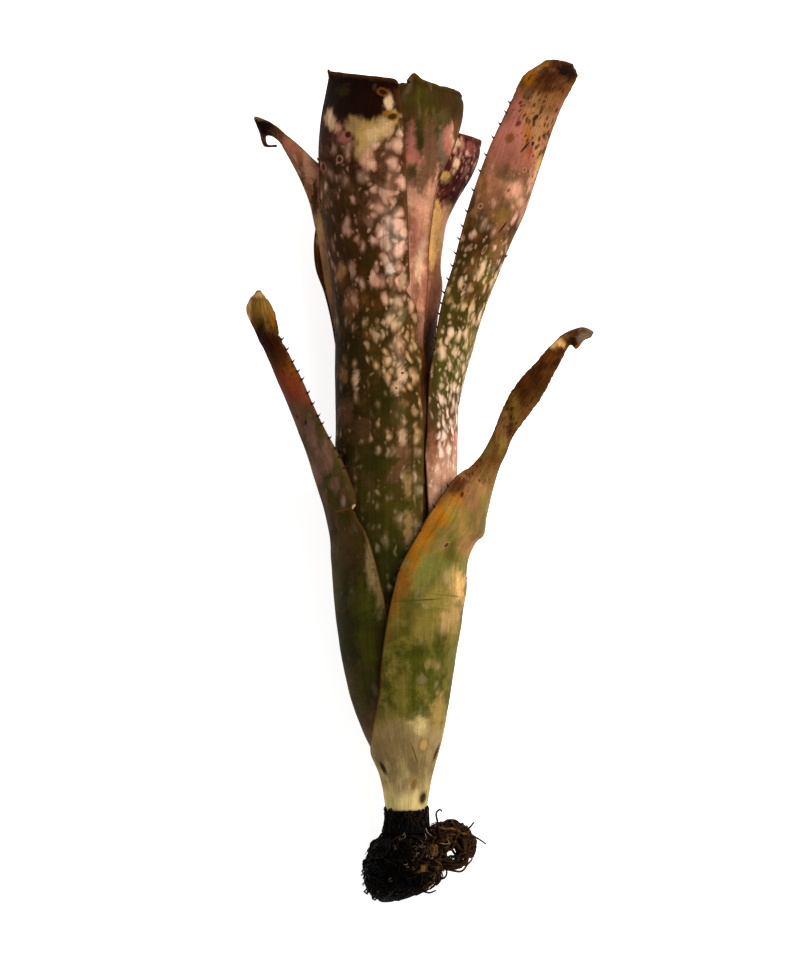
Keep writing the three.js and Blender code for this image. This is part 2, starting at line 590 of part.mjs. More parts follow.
// Loops of the mat: each leaves the core, wanders over the oval and comes back into the core
function matLoops(random) {
  return Array.from({ length: MAT.loops }, (_, i) => {
    const size = 0.5 + 0.5 * ((i * 0.618) % 1);
    const depth = THREE.MathUtils.lerp(MAT.lowZ, MAT.highZ, random());
    const rise = 0.9 + 1.1 * random();
    const fall = 0.9 + 1.1 * random();
    const at = (turn, reach) => {
      const x = MAT.x + MAT.reachX * reach * Math.cos(turn);
      const h = MAT.h + MAT.reachH * reach * Math.sin(turn);
      return new THREE.Vector3(x, h, depth + 8 * (random() - 0.5));
    };
    const middle = 0.7 * (random() - 0.5);
    const points = [
      new THREE.Vector3(2, -14 - 3 * random(), depth), at(rise, size), at((rise + middle) / 2, size),
      at(middle, size * (0.75 + 0.25 * random())), at((middle - fall) / 2, size), at(-fall, size),
      new THREE.Vector3(2, -19 - 6 * random(), depth),
    ];
    return strandGeometry(points, THREE.MathUtils.lerp(...MAT.radius, random()), MAT.radius[0], 10, 3);
  });
}

// The dense middle of the mat, which its loops stand out of
function matCore(random) {
  const { x, h, z, halfWidth, halfLength, halfDepth } = MAT.core;
  const rings = [-0.96, -0.6, 0, 0.6, 0.96].map((t) => {
    const size = Math.sqrt(1 - t * t);
    const ring = plantRing(h + halfLength * t, x, z, halfWidth * size, halfDepth * size, 9);
    return ring.map((point) => point.add(new THREE.Vector3(random() - 0.5, 0, 2 * random() - 1)));
  });
  return ringGeometry(rings);
}

// A chip of bark: a block with uneven corners, made larger by the gap for the pocket that holds it
function chipSolid(chip, gap) {
  const random = randomStream(SEED + Math.round(100 * chip.size[0]));
  const block = toSolid(new THREE.BoxGeometry(...chip.size)).getMesh();
  const corners = Array.from(block.vertProperties, (value) => {
    return value + Math.sign(value) * gap + CHIP_UNEVEN * (random() - 0.5);
  });
  const geometry = meshGeometry(corners, Array.from(block.triVerts));
  const [aboutX, aboutY, aboutZ] = chip.tilt.map(radians);
  geometry.rotateX(aboutX).rotateY(aboutY).rotateZ(aboutZ).translate(...chip.at);
  return toSolid(geometry);
}

function rootBallSolid() {
  const random = randomStream(SEED + 1);
  const rings = ROOT_CORE.map(([h]) => Array.from({ length: CORE_SIDES }, (_, i) => {
    return corePoint(h, (2 * Math.PI * i) / CORE_SIDES, CORE_LUMP * (random() - 0.5));
  }));
  const wiry = WIRY_ROOTS.map((root) => {
    return strandGeometry(root.map(point3), WIRY_RADIUS, WIRY_RADIUS * 0.7, 8, 3);
  });
  const strands = [...surfaceRoots(random), matCore(random), ...matLoops(random), ...wiry];
  let solid = toSolid(ringGeometry(rings));
  for (const strand of strands) solid = solid.add(toSolid(strand));
  solid = solid.subtract(stemSolid(STEM_GAP)).subtract(collarRoom());
  for (const chip of BARK_CHIPS) solid = solid.subtract(chipSolid(chip, CHIP_GAP));
  const below = new THREE.BoxGeometry(120, 120, 40).translate(0, 0, -20);
  solid = solid.subtract(toSolid(below));
  return largestBody(solid.simplify(SLIVER));
}

// Scraps that the cuts leave loose are dropped
function largestBody(solid) {
  const bodies = solid.decompose();
  return bodies.reduce((best, body) => (body.volume() > best.volume() ? body : best));
}

const plant = new THREE.Group();
plant.position.set(0, FOOT_Y, 0);

function addPiece(name, geometry, colour, roughness) {
  geometry.computeVertexNormals();
  const material = new THREE.MeshStandardMaterial({ color: colour, roughness, metalness: 0 });
  const piece = new THREE.Mesh(geometry, material);
  piece.name = name;
  plant.add(piece);
}

for (const [name, leaf] of Object.entries(LEAVES)) {
  addPiece(name, toGeometry(leafSolid(leaf)), leaf.colour, leaf.roughness);
}
addPiece("stem", toGeometry(stemSolid(0)), 0x4a3826, 0.8);
addPiece("fibre_collar", toGeometry(collarSolid()), 0x15100d, 0.9);
addPiece("root_ball", toGeometry(rootBallSolid()), 0x1c130e, 0.9);
BARK_CHIPS.forEach((chip, i) => {
  addPiece(`bark_chip_${i + 1}`, toGeometry(chipSolid(chip, 0)), 0x7a4a22, 0.85);
});

const part = new THREE.Group();
part.add(plant);

export default part;
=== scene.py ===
"""The looks of a bare-root billbergia that lies on its back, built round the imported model.

Plant coordinates are used for every table: x across, h upwards along the plant from the foot of the
lowest sheath, z above the surface that it lies on, in millimetres, and angles in degrees. A leaf is a
strip lofted through sections, each an arc of a circle, and a direction of 0 faces up, 90 right,
-90 left and 180 down. The frame's Y is h moved by FOOT_Y.
"""
import math
from functools import partial

import bpy
import numpy as np
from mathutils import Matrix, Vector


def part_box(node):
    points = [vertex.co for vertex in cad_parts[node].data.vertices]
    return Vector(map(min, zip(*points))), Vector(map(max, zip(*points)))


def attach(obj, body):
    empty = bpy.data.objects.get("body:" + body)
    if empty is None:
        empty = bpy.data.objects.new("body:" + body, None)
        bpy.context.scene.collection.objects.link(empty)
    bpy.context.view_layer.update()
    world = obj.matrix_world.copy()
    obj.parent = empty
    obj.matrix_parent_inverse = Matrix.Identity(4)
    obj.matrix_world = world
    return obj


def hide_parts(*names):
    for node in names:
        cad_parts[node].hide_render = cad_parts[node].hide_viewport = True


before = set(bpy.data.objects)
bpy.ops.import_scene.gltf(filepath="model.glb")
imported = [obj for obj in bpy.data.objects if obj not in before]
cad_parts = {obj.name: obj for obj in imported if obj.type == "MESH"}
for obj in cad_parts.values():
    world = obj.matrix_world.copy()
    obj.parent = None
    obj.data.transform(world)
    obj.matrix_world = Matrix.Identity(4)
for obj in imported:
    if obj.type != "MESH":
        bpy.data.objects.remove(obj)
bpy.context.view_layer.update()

bl_info = {
    "name": "Bare-root billbergia",
    "version": (1, 0, 0),
    "blender": (4, 5, 0),
    "location": "3D View > Sidebar > Billbergia",
    "description": "Builds the leaves, roots and stage of a bare-root tubular bromeliad",
    "category": "Add Mesh",
}

MM = 0.001
# The lowest sheath's foot along Y, read from the frame
FOOT_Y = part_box("leaf_right_outer")[0].y / MM

# The camera: the picture's size and its scale in millimetres for each pixel, the pixels at the middle of
# the tube's foot, and the height z at which the scale holds
IMAGE_WIDTH = 800
IMAGE_HEIGHT = 960
MM_PER_PIXEL = 0.43
AXIS_PIXEL_X = 420
FOOT_PIXEL_Y = 812
SCALE_PLANE_Z = 35

# The rosette's tube: its axis across and above the surface, and its outer radius, along h
TUBE_AXIS_X = [
    (-40, -6.5), (0, -5.8), (14, -6), (31, -7.6), (48, -9.4), (70, -10.1), (95, -9.5), (129, -9.7),
    (164, -9.2), (177, -10), (188, -11.2), (199, -12), (209, -11.8), (220, -11.4), (237, -11), (263, -10.3),
    (287, -9.5), (306, -9), (320, -9),
]
TUBE_AXIS_Z = [
    (-40, 19), (0, 20.5), (14, 21.5), (31, 24), (48, 26.5), (70, 28.8), (95, 30.5), (129, 31.2), (164, 30.5),
    (320, 30.5),
]
TUBE_RADIUS = [
    (0, 8.8), (14, 11.2), (31, 17.3), (48, 22.1), (70, 26.2), (95, 29.7), (113, 31), (129, 31.5), (164, 31.3),
    (177, 30.5), (188, 29.3), (199, 28.5), (209, 29), (220, 30), (237, 32.6), (263, 36.7), (287, 38.4),
    (306, 37.6), (320, 37.2),
]
LAYER_STEP = [(0, 1.45), (15, 1.45), (35, 1.6), (60, 1.75), (95, 1.95), (320, 2)]
LEAF_THICKNESS = [(0, 0.85), (35, 0.9), (95, 1.1), (320, 1.1)]
EDGE_THICKNESS = 0.65
# Points across a leaf, and the least distance between two sections of its sheath
LEAF_COLUMNS = 81
SECTION_GAP = 2
# How far below its tip a leaf's lip starts to turn outwards
LIP_REACH = 3.2
SHEATH_HEIGHTS = [
    10, 15, 20, 35, 50, 65, 80, 95, 110, 125, 140, 155, 170, 184, 198, 212, 226, 240, 255, 270, 285, 300,
]

# The veins keep their direction round the tube: millimetres for each radian
VEIN_RADIUS = 20
THORN_LENGTH = 1.9
THORN_RADIUS = 0.55

# Colours of the leaf tissue, as a painter would name them
PALETTE = {
    "ink": "#1b0903", "near_black": "#120804", "maroon": "#3c1210", "plum": "#57241c", "umber": "#3c240b",
    "chestnut": "#3b1908", "rust": "#4f2a09", "bark_brown": "#643d18", "tan": "#966a3c", "sand": "#ab8550",
    "dark_olive": "#332609", "moss": "#3b320a", "deep_green": "#2a2907", "fern": "#44430d",
    "fresh_green": "#62662a", "dusty_pink": "#a67a5e", "olive": "#6e5e22", "khaki": "#7a682c",
    "straw": "#785721", "butter": "#b58f4e", "honey": "#dca763", "cream": "#d8ae84", "pale_pink": "#f0cbb0",
    "pink": "#cb8f70", "rose": "#a5604f", "brown_rose": "#855236", "mauve": "#64422c",
    "mauve_brown": "#4e351e", "lilac": "#7c5548", "orange": "#905408", "burnt_orange": "#74400a",
    "brick": "#783418", "ivory": "#c6ae70", "parchment": "#967d50", "mauve_cream": "#7b643c",
    "grey_olive": "#4a3f1e", "ash": "#6b5640",
}

# What a leaf has where its tables say nothing of it
PLAIN_LEAF = {
    "extra_heights": [], "thorns": {"left": [], "right": []}, "nicks": [],
    "flecks": [], "dry": [], "scars": [],
}

# Each leaf. layer: 0 is outermost. foot: where its sheath starts. sheath rows: (h, left edge's direction,
# right edge's direction), hugging the tube. blade rows: (left x, left h, right x, right h, left edge's
# direction, right edge's direction, z of the arc's centre). rim rows: (place across, rise).
# lip: how far the tip's edge turns outwards. nicks: (edge, h, depth, half length).
# oval: width and length of one of its pale ovals.
LEAVES = {}
LEAVES["leaf_right_outer"] = {
    "layer": 0, "foot": 0, "lip": 0.3, "oval": (7, 13),
    "sheath": [
        (0, -150, 205), (10, -125, 204), (20, -93, 203), (29, -57, 201), (35, -42, 199.5), (41.7, -31, 198),
        (52.5, -20, 190), (70, -13.5, 165), (84.7, -8, 130), (95, -4, 104),
    ],
    "extra_heights": [5, 24, 27.5, 31, 42],
    "blade": [
        (-8.6, 105.8, 20.2, 103.2, 2, 97, 31.2), (-5.2, 112.2, 21.1, 109.2, 8, 95, 31),
        (-1.3, 119.1, 24.5, 116.1, 14, 94, 28), (3, 126.8, 27.5, 118.7, 20, 94, 24.5),
        (9.9, 137.2, 28.8, 126.4, 20, 94, 25), (15.5, 144.5, 30.5, 134.2, 10, 92, 27),
        (21.5, 148.8, 32.7, 142.8, -15, 85, 31), (25.8, 153.1, 34.4, 148.3, -35, 75, 34),
        (30.5, 161.2, 37, 153.9, -45, 65, 34.5), (33.5, 169, 40, 161.2, -50, 60, 34.5),
        (35.7, 174.6, 43.4, 166, -50, 60, 34.5), (39.1, 181, 47.7, 171.6, -50, 60, 34),
        (43.4, 187, 52.5, 178.4, -50, 60, 34), (49.9, 193.9, 56.8, 186.2, -50, 62, 33.5),
        (56.8, 201.7, 61.5, 195.2, -50, 65, 33.5), (61.9, 206, 64.9, 200.8, -50, 65, 33.5),
        (67.1, 208.1, 67.1, 199.1, -60, 65, 32.5), (72.2, 208.1, 71, 203, -60, 65, 31.5),
        (74.8, 206.4, 73.5, 204.2, -60, 60, 31),
    ],
    "thorns": {"left": [104, 121, 131, 140], "right": [100]},
}
LEAVES["leaf_left_outer"] = {
    "layer": 1, "foot": 5, "lip": 0.2, "oval": (6, 12),
    "sheath": [
        (5, -240, 110), (31, -235, 90), (48, -228, 60), (70, -220, 10), (80, -214, -5), (90, -205, -11),
        (101, -190, -17), (110, -165, -21),
    ],
    "blade": [
        (-39.1, 119.1, -23.2, 120, -140, -25, 31.5), (-40.9, 128, -27.9, 128.9, -132, -27, 33.5),
        (-42.3, 133.3, -27.5, 134.2, -130, -22, 33), (-45.1, 141.9, -29.7, 141.9, -130, -18, 32),
        (-48.2, 152.2, -34, 152.2, -128, -14, 33), (-52.5, 163.8, -40.4, 163.8, -125, -10, 34),
        (-57.2, 175.9, -46, 175.4, -120, -5, 35), (-61.5, 185.8, -50.7, 186.2, -115, 0, 36),
        (-65.8, 195.7, -55.5, 195.7, -110, 10, 36), (-70.1, 204.7, -59.8, 204.7, -100, 20, 36),
        (-73.5, 212, -61.5, 212.4, -85, 35, 36), (-74.8, 216.3, -63.6, 217.6, -75, 45, 36),
        (-73.1, 220.6, -65.8, 221, -65, 55, 36.5), (-70.1, 224, -68.4, 224, -60, 60, 37),
    ],
    "thorns": {"left": [], "right": [148, 152, 156, 160, 166, 170, 175, 180, 185, 189, 193, 198, 203]},
    "nicks": [("right", 130.3, 1.3, 0.9)],
}
LEAVES["leaf_front"] = {
    "layer": 2, "foot": 10, "lip": 1.1, "oval": (4, 8.2),
    "sheath": [
        (10, -190, 150), (35, -182, 110), (60, -172, 70), (90, -162, 35), (108, -157, 25), (120, -152, 23.8),
        (150, -135, 23.5), (165, -115, 23.5), (177, -105, 23.5), (188, -99, 26.5), (196.5, -97, 30),
        (198, -96.5, 30.2), (200, -96, 24), (206, -94, 25), (211, -93, 25), (218.5, -92, 20.5),
        (221, -91, 15.5), (225, -90, 15), (237, -88, 12.7), (263, -83, 8.3), (275, -84, 6.5), (286.8, -84, 5),
        (300, -79, 2.2),
    ],
    "extra_heights": [202, 207, 218.5, 221.5],
    "blade": [(-39.8, 312.2, -8.6, 307, -69, 0.7, 30.2), (-38.7, 317.8, -9.2, 310.2, -64, 0.5, 30.5)],
    "rim": [(0, 0.8), (0.08, 0), (0.25, 0), (0.5, 0.5), (0.75, 1.6), (0.93, 2.4), (1, 0.6)],
    "thorns": {"left": [280, 262], "right": []},
    "nicks": [("right", 224, 1.5, 1.5), ("right", 206, 0.7, 1.6)],
}
LEAVES["leaf_right_tall"] = {
    "layer": 3, "foot": 15, "lip": 0.4, "oval": (4.2, 7.4),
    "sheath": [
        (15, -110, 240), (40, -90, 220), (70, -60, 200), (100, 0, 180), (118, 26, 165), (129, 30.7, 158),
        (151, 27.5, 148), (155, 27, 147),
    ],
    "blade": [
        (3, 163.4, 16.3, 163.4, 26, 140, 31), (3.4, 177.2, 17.2, 176.3, 18, 125, 31.5),
        (4.3, 189.2, 20.2, 189.2, 12, 112, 32), (6, 198.7, 22.8, 198.2, 6, 102, 32.5),
        (7.7, 210.7, 25.8, 209.8, 0, 95, 33), (10.3, 222.7, 30.1, 221.9, -6, 90, 33),
        (13.8, 233.9, 34.4, 232.2, -12, 85, 33), (16.8, 245.5, 39.1, 244.2, -16, 80, 33),
        (20.2, 258, 44.7, 256.3, -20, 75, 32.5), (25.4, 273.9, 49.9, 272.2, -25, 70, 32),
        (30.5, 287.2, 53.8, 283.8, -30, 65, 31.5), (35.7, 298.4, 58, 295.8, -33, 60, 31),
        (40.4, 308.7, 62.8, 306.6, -36, 56, 30.5), (43.4, 315.2, 66.2, 312.2, -38, 52, 30),
        (46.9, 318.6, 67.9, 316.1, -40, 50, 30), (53.8, 322.9, 65.8, 321.2, -40, 50, 30),
    ],
    "rim": [(0, 0), (0.5, 0.8), (1, 0)],
    "thorns": {
        "left": [
            198, 203, 208, 213, 218, 222.5, 228, 234, 239, 245, 251, 257.5, 266, 274, 281, 288.5, 294.5, 300,
            304,
        ],
        "right": [238],
    },
}
LEAVES["leaf_front_right"] = {
    "layer": 4, "foot": 20, "lip": 1.3, "oval": (3.6, 24),
    "sheath": [
        (20, -120, 190), (60, -90, 150), (100, -65, 110), (150, -50, 70), (175, -45, 55), (198.7, -42, 42),
        (211.6, -41, 41), (224.5, -40, 40), (237.4, -40, 36), (261, -38, 34.9), (271.8, -35, 38.8),
        (286.8, -30, 54.6), (298.4, -26, 67), (300, -26, 67.5),
    ],
    "blade": [(-22.6, 307.5, 18.6, 304.5, -24, 69, 30.5), (-19.4, 308.3, 17.2, 308.3, -18, 66, 30.5)],
    "rim": [
        (0, 1.3), (0.24, 1.3), (0.28, 3), (0.34, 3.4), (0.38, 7.7), (0.45, 5.2), (0.54, 3.9), (0.68, 2.2),
        (0.85, 1.3), (0.957, 0), (1, -1.2),
    ],
}
LEAVES["leaf_right_inner"] = {
    "layer": 5, "foot": 25, "lip": 0.5, "oval": (4.8, 6.8),
    "sheath": [(25, -60, 220), (60, -40, 180), (100, -20, 160), (150, 0, 130), (200, 5, 105), (226, 5, 97)],
    "blade": [
        (-2.6, 236, 9, 235.4, 5, 92, 27.5), (-0.9, 244.7, 9.9, 243.8, 5, 88, 26),
        (0, 254.6, 11.6, 253.7, 6, 84, 25), (0.9, 264, 16.3, 263.6, 7, 82, 24),
        (2.1, 273.5, 22.4, 273.9, 8, 80, 24), (3.4, 283.8, 25.4, 281.6, 8, 80, 24),
        (5.6, 293.3, 26.2, 288.5, 5, 80, 24),
    ],
    "rim": [(0, 0), (0.5, 0.8), (0.9, 0.6), (1, -0.8)],
}
LEAVES["leaf_back"] = {
    "layer": 6, "foot": 30, "lip": 0.3, "oval": (5, 10),
    "sheath": [(30, -290, -70), (60, -275, -80), (100, -255, -92), (150, -236, -112), (165, -230, -120)],
    "blade": [
        (-31.8, 184, 3.6, 184, -225, -118, 30.5), (-36, 198, 1.5, 198, -215, -121, 30.5),
        (-38.3, 210.7, -4.3, 210.7, -210, -125, 29.5), (-41.7, 224.5, -3.4, 224.5, -207, -125, 31.5),
        (-45.1, 233.9, -2.6, 233.9, -204, -125, 35), (-46, 242.9, -1.7, 242.9, -202, -125, 37),
        (-45.1, 252.8, -1.3, 252.8, -200, -125, 37.4), (-43, 263.2, -1.7, 263.2, -198, -124, 36),
        (-38.7, 275.2, -3.4, 275.2, -196, -128, 33.4), (-31, 286.8, -7.7, 286.8, -194, -133, 25.5),
        (-23.2, 293.3, -15.5, 293.3, -190, -140, 12),
    ],
}
LEAVES["leaf_left_curled"] = {
    "layer": 7, "foot": 35, "lip": 0.2, "oval": (4, 11),
    "sheath": [(35, -230, 0), (60, -215, -20), (100, -195, -40), (150, -165, -50), (170, -150, -45)],
    "blade": [
        (-29, 184, -21.9, 184, -125, -32, 27), (-34.5, 200, -21.7, 200, -88, -10, 22.5),
        (-37, 208, -21.5, 208, -76, 0, 20), (-38.6, 216, -22.6, 216, -66, 5, 19),
        (-40.9, 226.6, -26.2, 226.6, -68, 5, 18), (-42.6, 236.5, -29.3, 236.5, -68, 8, 17.5),
        (-43.9, 244.7, -31.5, 245.1, -67, 12, 18.5), (-45.6, 252.8, -34.6, 255, -68, 15, 20.5),
        (-47.7, 262.3, -37.2, 266, -66, 25, 23), (-50.3, 269.2, -39.6, 275, -66, 40, 25.5),
        (-52.9, 274.8, -46.5, 281.5, -70, 45, 28), (-55.9, 280.4, -52, 286.8, -75, 50, 29.5),
        (-58.9, 285.5, -57.2, 291.1, -75, 50, 31), (-61.9, 289.4, -64.1, 296.7, -75, 50, 32),
        (-65.4, 290.7, -71.4, 298.9, -75, 50, 32.5), (-66.2, 289, -69.2, 292.4, -75, 50, 32.5),
        (-65.4, 287.2, -67.5, 286.4, -75, 50, 32), (-61.5, 287.2, -61.9, 285.7, -75, 50, 31.5),
    ],
}

# The least cover at which a wash gives the ovals its colour
OVAL_WASH = 0.9
# The four sizes of pale oval: share of the leaf's own oval, how full its cells are, and strength
OVAL_SIZES = [(0.45, 0.75, 0.6), (0.7, 0.85, 0.8), (1.0, 0.9, 0.95), (1.3, 0.7, 0.85)]

# How each leaf is painted. ground: (h, colour) along it. mottle: (h, cover, colour) of cloudy patches.
# ovals: (h, cover, colour) of the pale ovals. washes: (x, h, half width, half length, colour, strength,
# cover of ovals there), with no ovals where the cover isn't given; where it is OVAL_WASH or more, the ovals
# take the colour. flecks: (x, h, half width, half length, cover). dry: the same, where the tissue is dead
# and wrinkled. scars: (x, h, half width, half length, turn, colour, and the ring's colour if it has one).
# lean: how much painted shade darkens the left side and painted light brightens the right, and how much
# richer in ovals the right is.
PAINT = {}
PAINT["leaf_right_outer"] = {
    "lean": 0.15,
    "ground": [
        (0, "ivory"), (6, "ivory"), (12, "parchment"), (22, "mauve_cream"), (34, "parchment"), (41, "khaki"),
        (45, "fern"), (60, "fern"), (72, "fern"), (86, "olive"), (96, "khaki"), (108, "olive"),
        (120, "olive"), (132, "khaki"), (143, "tan"), (152, "bark_brown"), (165, "bark_brown"), (180, "rust"),
        (192, "rust"), (200, "burnt_orange"), (208, "ash"),
    ],
    "mottle": [
        (0, 0, "ivory"), (14, 0.45, "ivory"), (30, 0.5, "mauve_cream"), (40, 0.4, "sand"),
        (52, 0.35, "khaki"), (75, 0.5, "khaki"), (92, 0.55, "fern"), (105, 0.55, "fresh_green"),
        (122, 0.45, "tan"), (140, 0.4, "bark_brown"), (160, 0.4, "khaki"), (185, 0.35, "near_black"),
        (208, 0.3, "near_black"),
    ],
    "ovals": [(0, 0, "ivory"), (44, 0.1, "khaki"), (60, 0.22, "khaki"), (90, 0.25, "khaki"), (125, 0, "tan")],
    "washes": [
        (0, 38, 4, 5.5, "ivory", 0.85), (8.6, 44, 3, 6.5, "butter", 0.6), (-3, 43.5, 8, 3.4, "fern", 0.8),
        (-6, 34, 5, 6, "mauve_cream", 0.6), (5, 28, 6, 7, "parchment", 0.6),
        (-2, 18, 6, 7, "mauve_cream", 0.5), (-8, 52, 3, 8, "khaki", 0.6, 0.1),
        (3, 63, 9, 9, "fern", 0.5, 0.15), (2.5, 80, 5.5, 7.5, "khaki", 0.85), (-6.5, 86, 3, 7, "moss", 0.5),
        (12.5, 84, 4.5, 8, "sand", 0.75), (9, 72, 4, 5, "fern", 0.8, 0.1),
        (0, 71, 4, 4, "deep_green", 0.6, 0.1), (13.5, 68, 2.4, 12, "khaki", 0.55),
        (14, 100, 5, 7, "sand", 0.6), (17.4, 96, 2.2, 6, "honey", 0.75), (5, 92, 10, 3.2, "khaki", 0.6),
        (-2, 103, 5, 6, "fresh_green", 0.6), (8, 106, 6, 5, "fresh_green", 0.55),
        (14, 113, 4, 6, "fern", 0.55), (21, 116, 5, 7, "tan", 0.75), (25, 124, 4, 9, "mauve_brown", 0.45),
        (16, 127, 5, 7, "olive", 0.5), (20, 137, 6, 7, "brown_rose", 0.6),
        (-7, 101, 3, 9, "burnt_orange", 0.85), (-3, 111, 3, 7, "orange", 0.8),
        (1.5, 120, 3.8, 7, "orange", 0.85), (7.5, 128, 5, 5.5, "orange", 0.9),
        (6.5, 134.5, 4.5, 3, "rust", 0.8), (13.5, 140, 7, 4.4, "chestnut", 0.9),
        (14.5, 133.5, 4, 3, "orange", 0.6), (22, 148, 5, 5, "bark_brown", 0.8),
        (28, 158, 3, 6, "khaki", 0.55), (35, 167, 3.4, 6, "tan", 0.6), (40, 174, 3, 7, "straw", 0.6),
        (45, 178, 3.5, 5, "near_black", 0.4), (38.5, 164, 2.4, 4, "near_black", 0.55),
        (50, 183, 2.6, 5, "near_black", 0.4), (44, 188, 2.2, 6, "rust", 0.6), (53, 196, 5, 4.5, "rust", 0.9),
        (57, 201.5, 6, 2.4, "honey", 0.9), (60, 198, 3.2, 2.6, "chestnut", 0.9),
        (65, 202.5, 3, 2, "near_black", 0.9), (67, 206.5, 4.5, 2, "chestnut", 0.9),
        (71, 204, 3.2, 3, "ash", 0.9), (-11, 93, 2, 9, "burnt_orange", 0.7),
        (-13, 82, 1.4, 9, "bark_brown", 0.5),
    ],
    "flecks": [(44, 176, 11, 18, 0.9), (22, 146, 9, 6, 0.75), (6, 62, 14, 22, 0.12)],
    "dry": [(50, 186, 26, 32, 1.0), (20, 148, 10, 9, 0.75), (13, 138, 6, 5, 0.5)],
    "scars": [
        (1.6, 29, 2.1, 2.4, -25, "butter", "straw"), (-2.2, 25, 0.4, 5.6, 24, "bark_brown"),
        (-2.6, 11.6, 1.9, 2.6, -38, "straw", "parchment"), (1.3, 5.6, 3.8, 2.2, 5, "near_black", "straw"),
        (7.4, 25.2, 1.5, 3.8, -22, "near_black", "straw"), (-16, 18.5, 2, 3, 25, "near_black"),
        (18, 136.7, 0.9, 1.2, -20, "chestnut", "orange"), (11.2, 115, 0.9, 1.1, 0, "chestnut", "tan"),
        (-0.6, 91.5, 7, 0.35, 4, "fern"), (12, 93.4, 6.5, 0.35, -8, "olive"),
    ],
}
PAINT["leaf_left_outer"] = {
    "lean": 0.5,
    "ground": [
        (5, "parchment"), (26, "mauve_cream"), (40, "mauve"), (50, "grey_olive"), (62, "deep_green"),
        (90, "deep_green"), (104, "dark_olive"), (122, "dark_olive"), (138, "moss"), (156, "grey_olive"),
        (168, "mauve_brown"), (178, "brick"), (187, "brick"), (193.5, "rust"), (199, "chestnut"),
        (205, "chestnut"), (210, "umber"), (214, "straw"), (224, "straw"),
    ],
    "mottle": [
        (5, 0.2, "mauve"), (50, 0.35, "mauve_brown"), (75, 0.22, "umber"), (104, 0.4, "mauve_brown"),
        (125, 0.45, "mauve_brown"), (150, 0.45, "mauve"), (168, 0.45, "mauve"), (180, 0.4, "mauve"),
        (188, 0.3, "burnt_orange"), (200, 0.35, "near_black"), (212, 0.4, "straw"), (224, 0.4, "straw"),
    ],
    "ovals": [
        (5, 0, "mauve"), (60, 0.12, "mauve"), (110, 0.14, "mauve"), (150, 0.18, "lilac"), (172, 0, "lilac"),
    ],
    "washes": [
        (-20.5, 110, 2.6, 14, "parchment", 0.75), (-17, 96, 2.2, 10, "mauve_cream", 0.75),
        (-33, 112, 4.5, 9, "mauve_brown", 0.5), (-36, 100, 4, 14, "grey_olive", 0.5),
        (-31, 127.5, 5, 3.6, "moss", 0.85), (-27, 118, 3.4, 5, "moss", 0.6), (-26, 92, 5, 9, "fern", 0.65),
        (-31, 80, 5, 12, "deep_green", 0.6), (-23, 72, 4, 14, "fern", 0.5), (-34, 146, 3, 5, "fern", 0.6),
        (-42.5, 158, 3.2, 5, "lilac", 0.7), (-43.5, 147, 3.4, 5.5, "lilac", 0.6),
        (-36, 140, 4, 6, "moss", 0.7), (-31.5, 152, 2.4, 8, "mauve", 0.7),
        (-46.5, 167, 3, 6, "grey_olive", 0.75), (-52, 170, 3, 6, "mauve", 0.7),
        (-55, 183, 3.4, 4.5, "brick", 0.75), (-54.5, 193, 2, 5, "burnt_orange", 0.8),
        (-66, 204.5, 8, 4.4, "near_black", 0.6), (-63, 214, 1.2, 6, "orange", 0.75),
        (-73.6, 217, 1.2, 6, "honey", 0.7), (-69, 222.5, 4, 1.5, "honey", 0.6),
        (-42.5, 166, 2, 13, "moss", 0.7), (-47, 163, 2.4, 6, "lilac", 0.7),
        (-39.5, 150, 2.2, 5, "lilac", 0.7), (-36.5, 141, 2, 4, "lilac", 0.6),
        (-25, 48, 5, 12, "deep_green", 0.7),
    ],
    "flecks": [(-57, 190, 7, 12, 0.5), (-66, 206, 6, 8, 0.4)],
    "dry": [(-68, 214, 12, 15, 1.0), (-58, 196, 7, 7, 0.35)],
    "scars": [
        (-52.9, 169.9, 0.5, 1.0, 20, "near_black"), (-49, 167.3, 0.5, 1.2, -25, "near_black"),
        (-33.4, 129.9, 4.8, 0.5, 8, "bark_brown", "dark_olive"), (-28.2, 131.2, 0.7, 0.9, 0, "cream"),
    ],
}
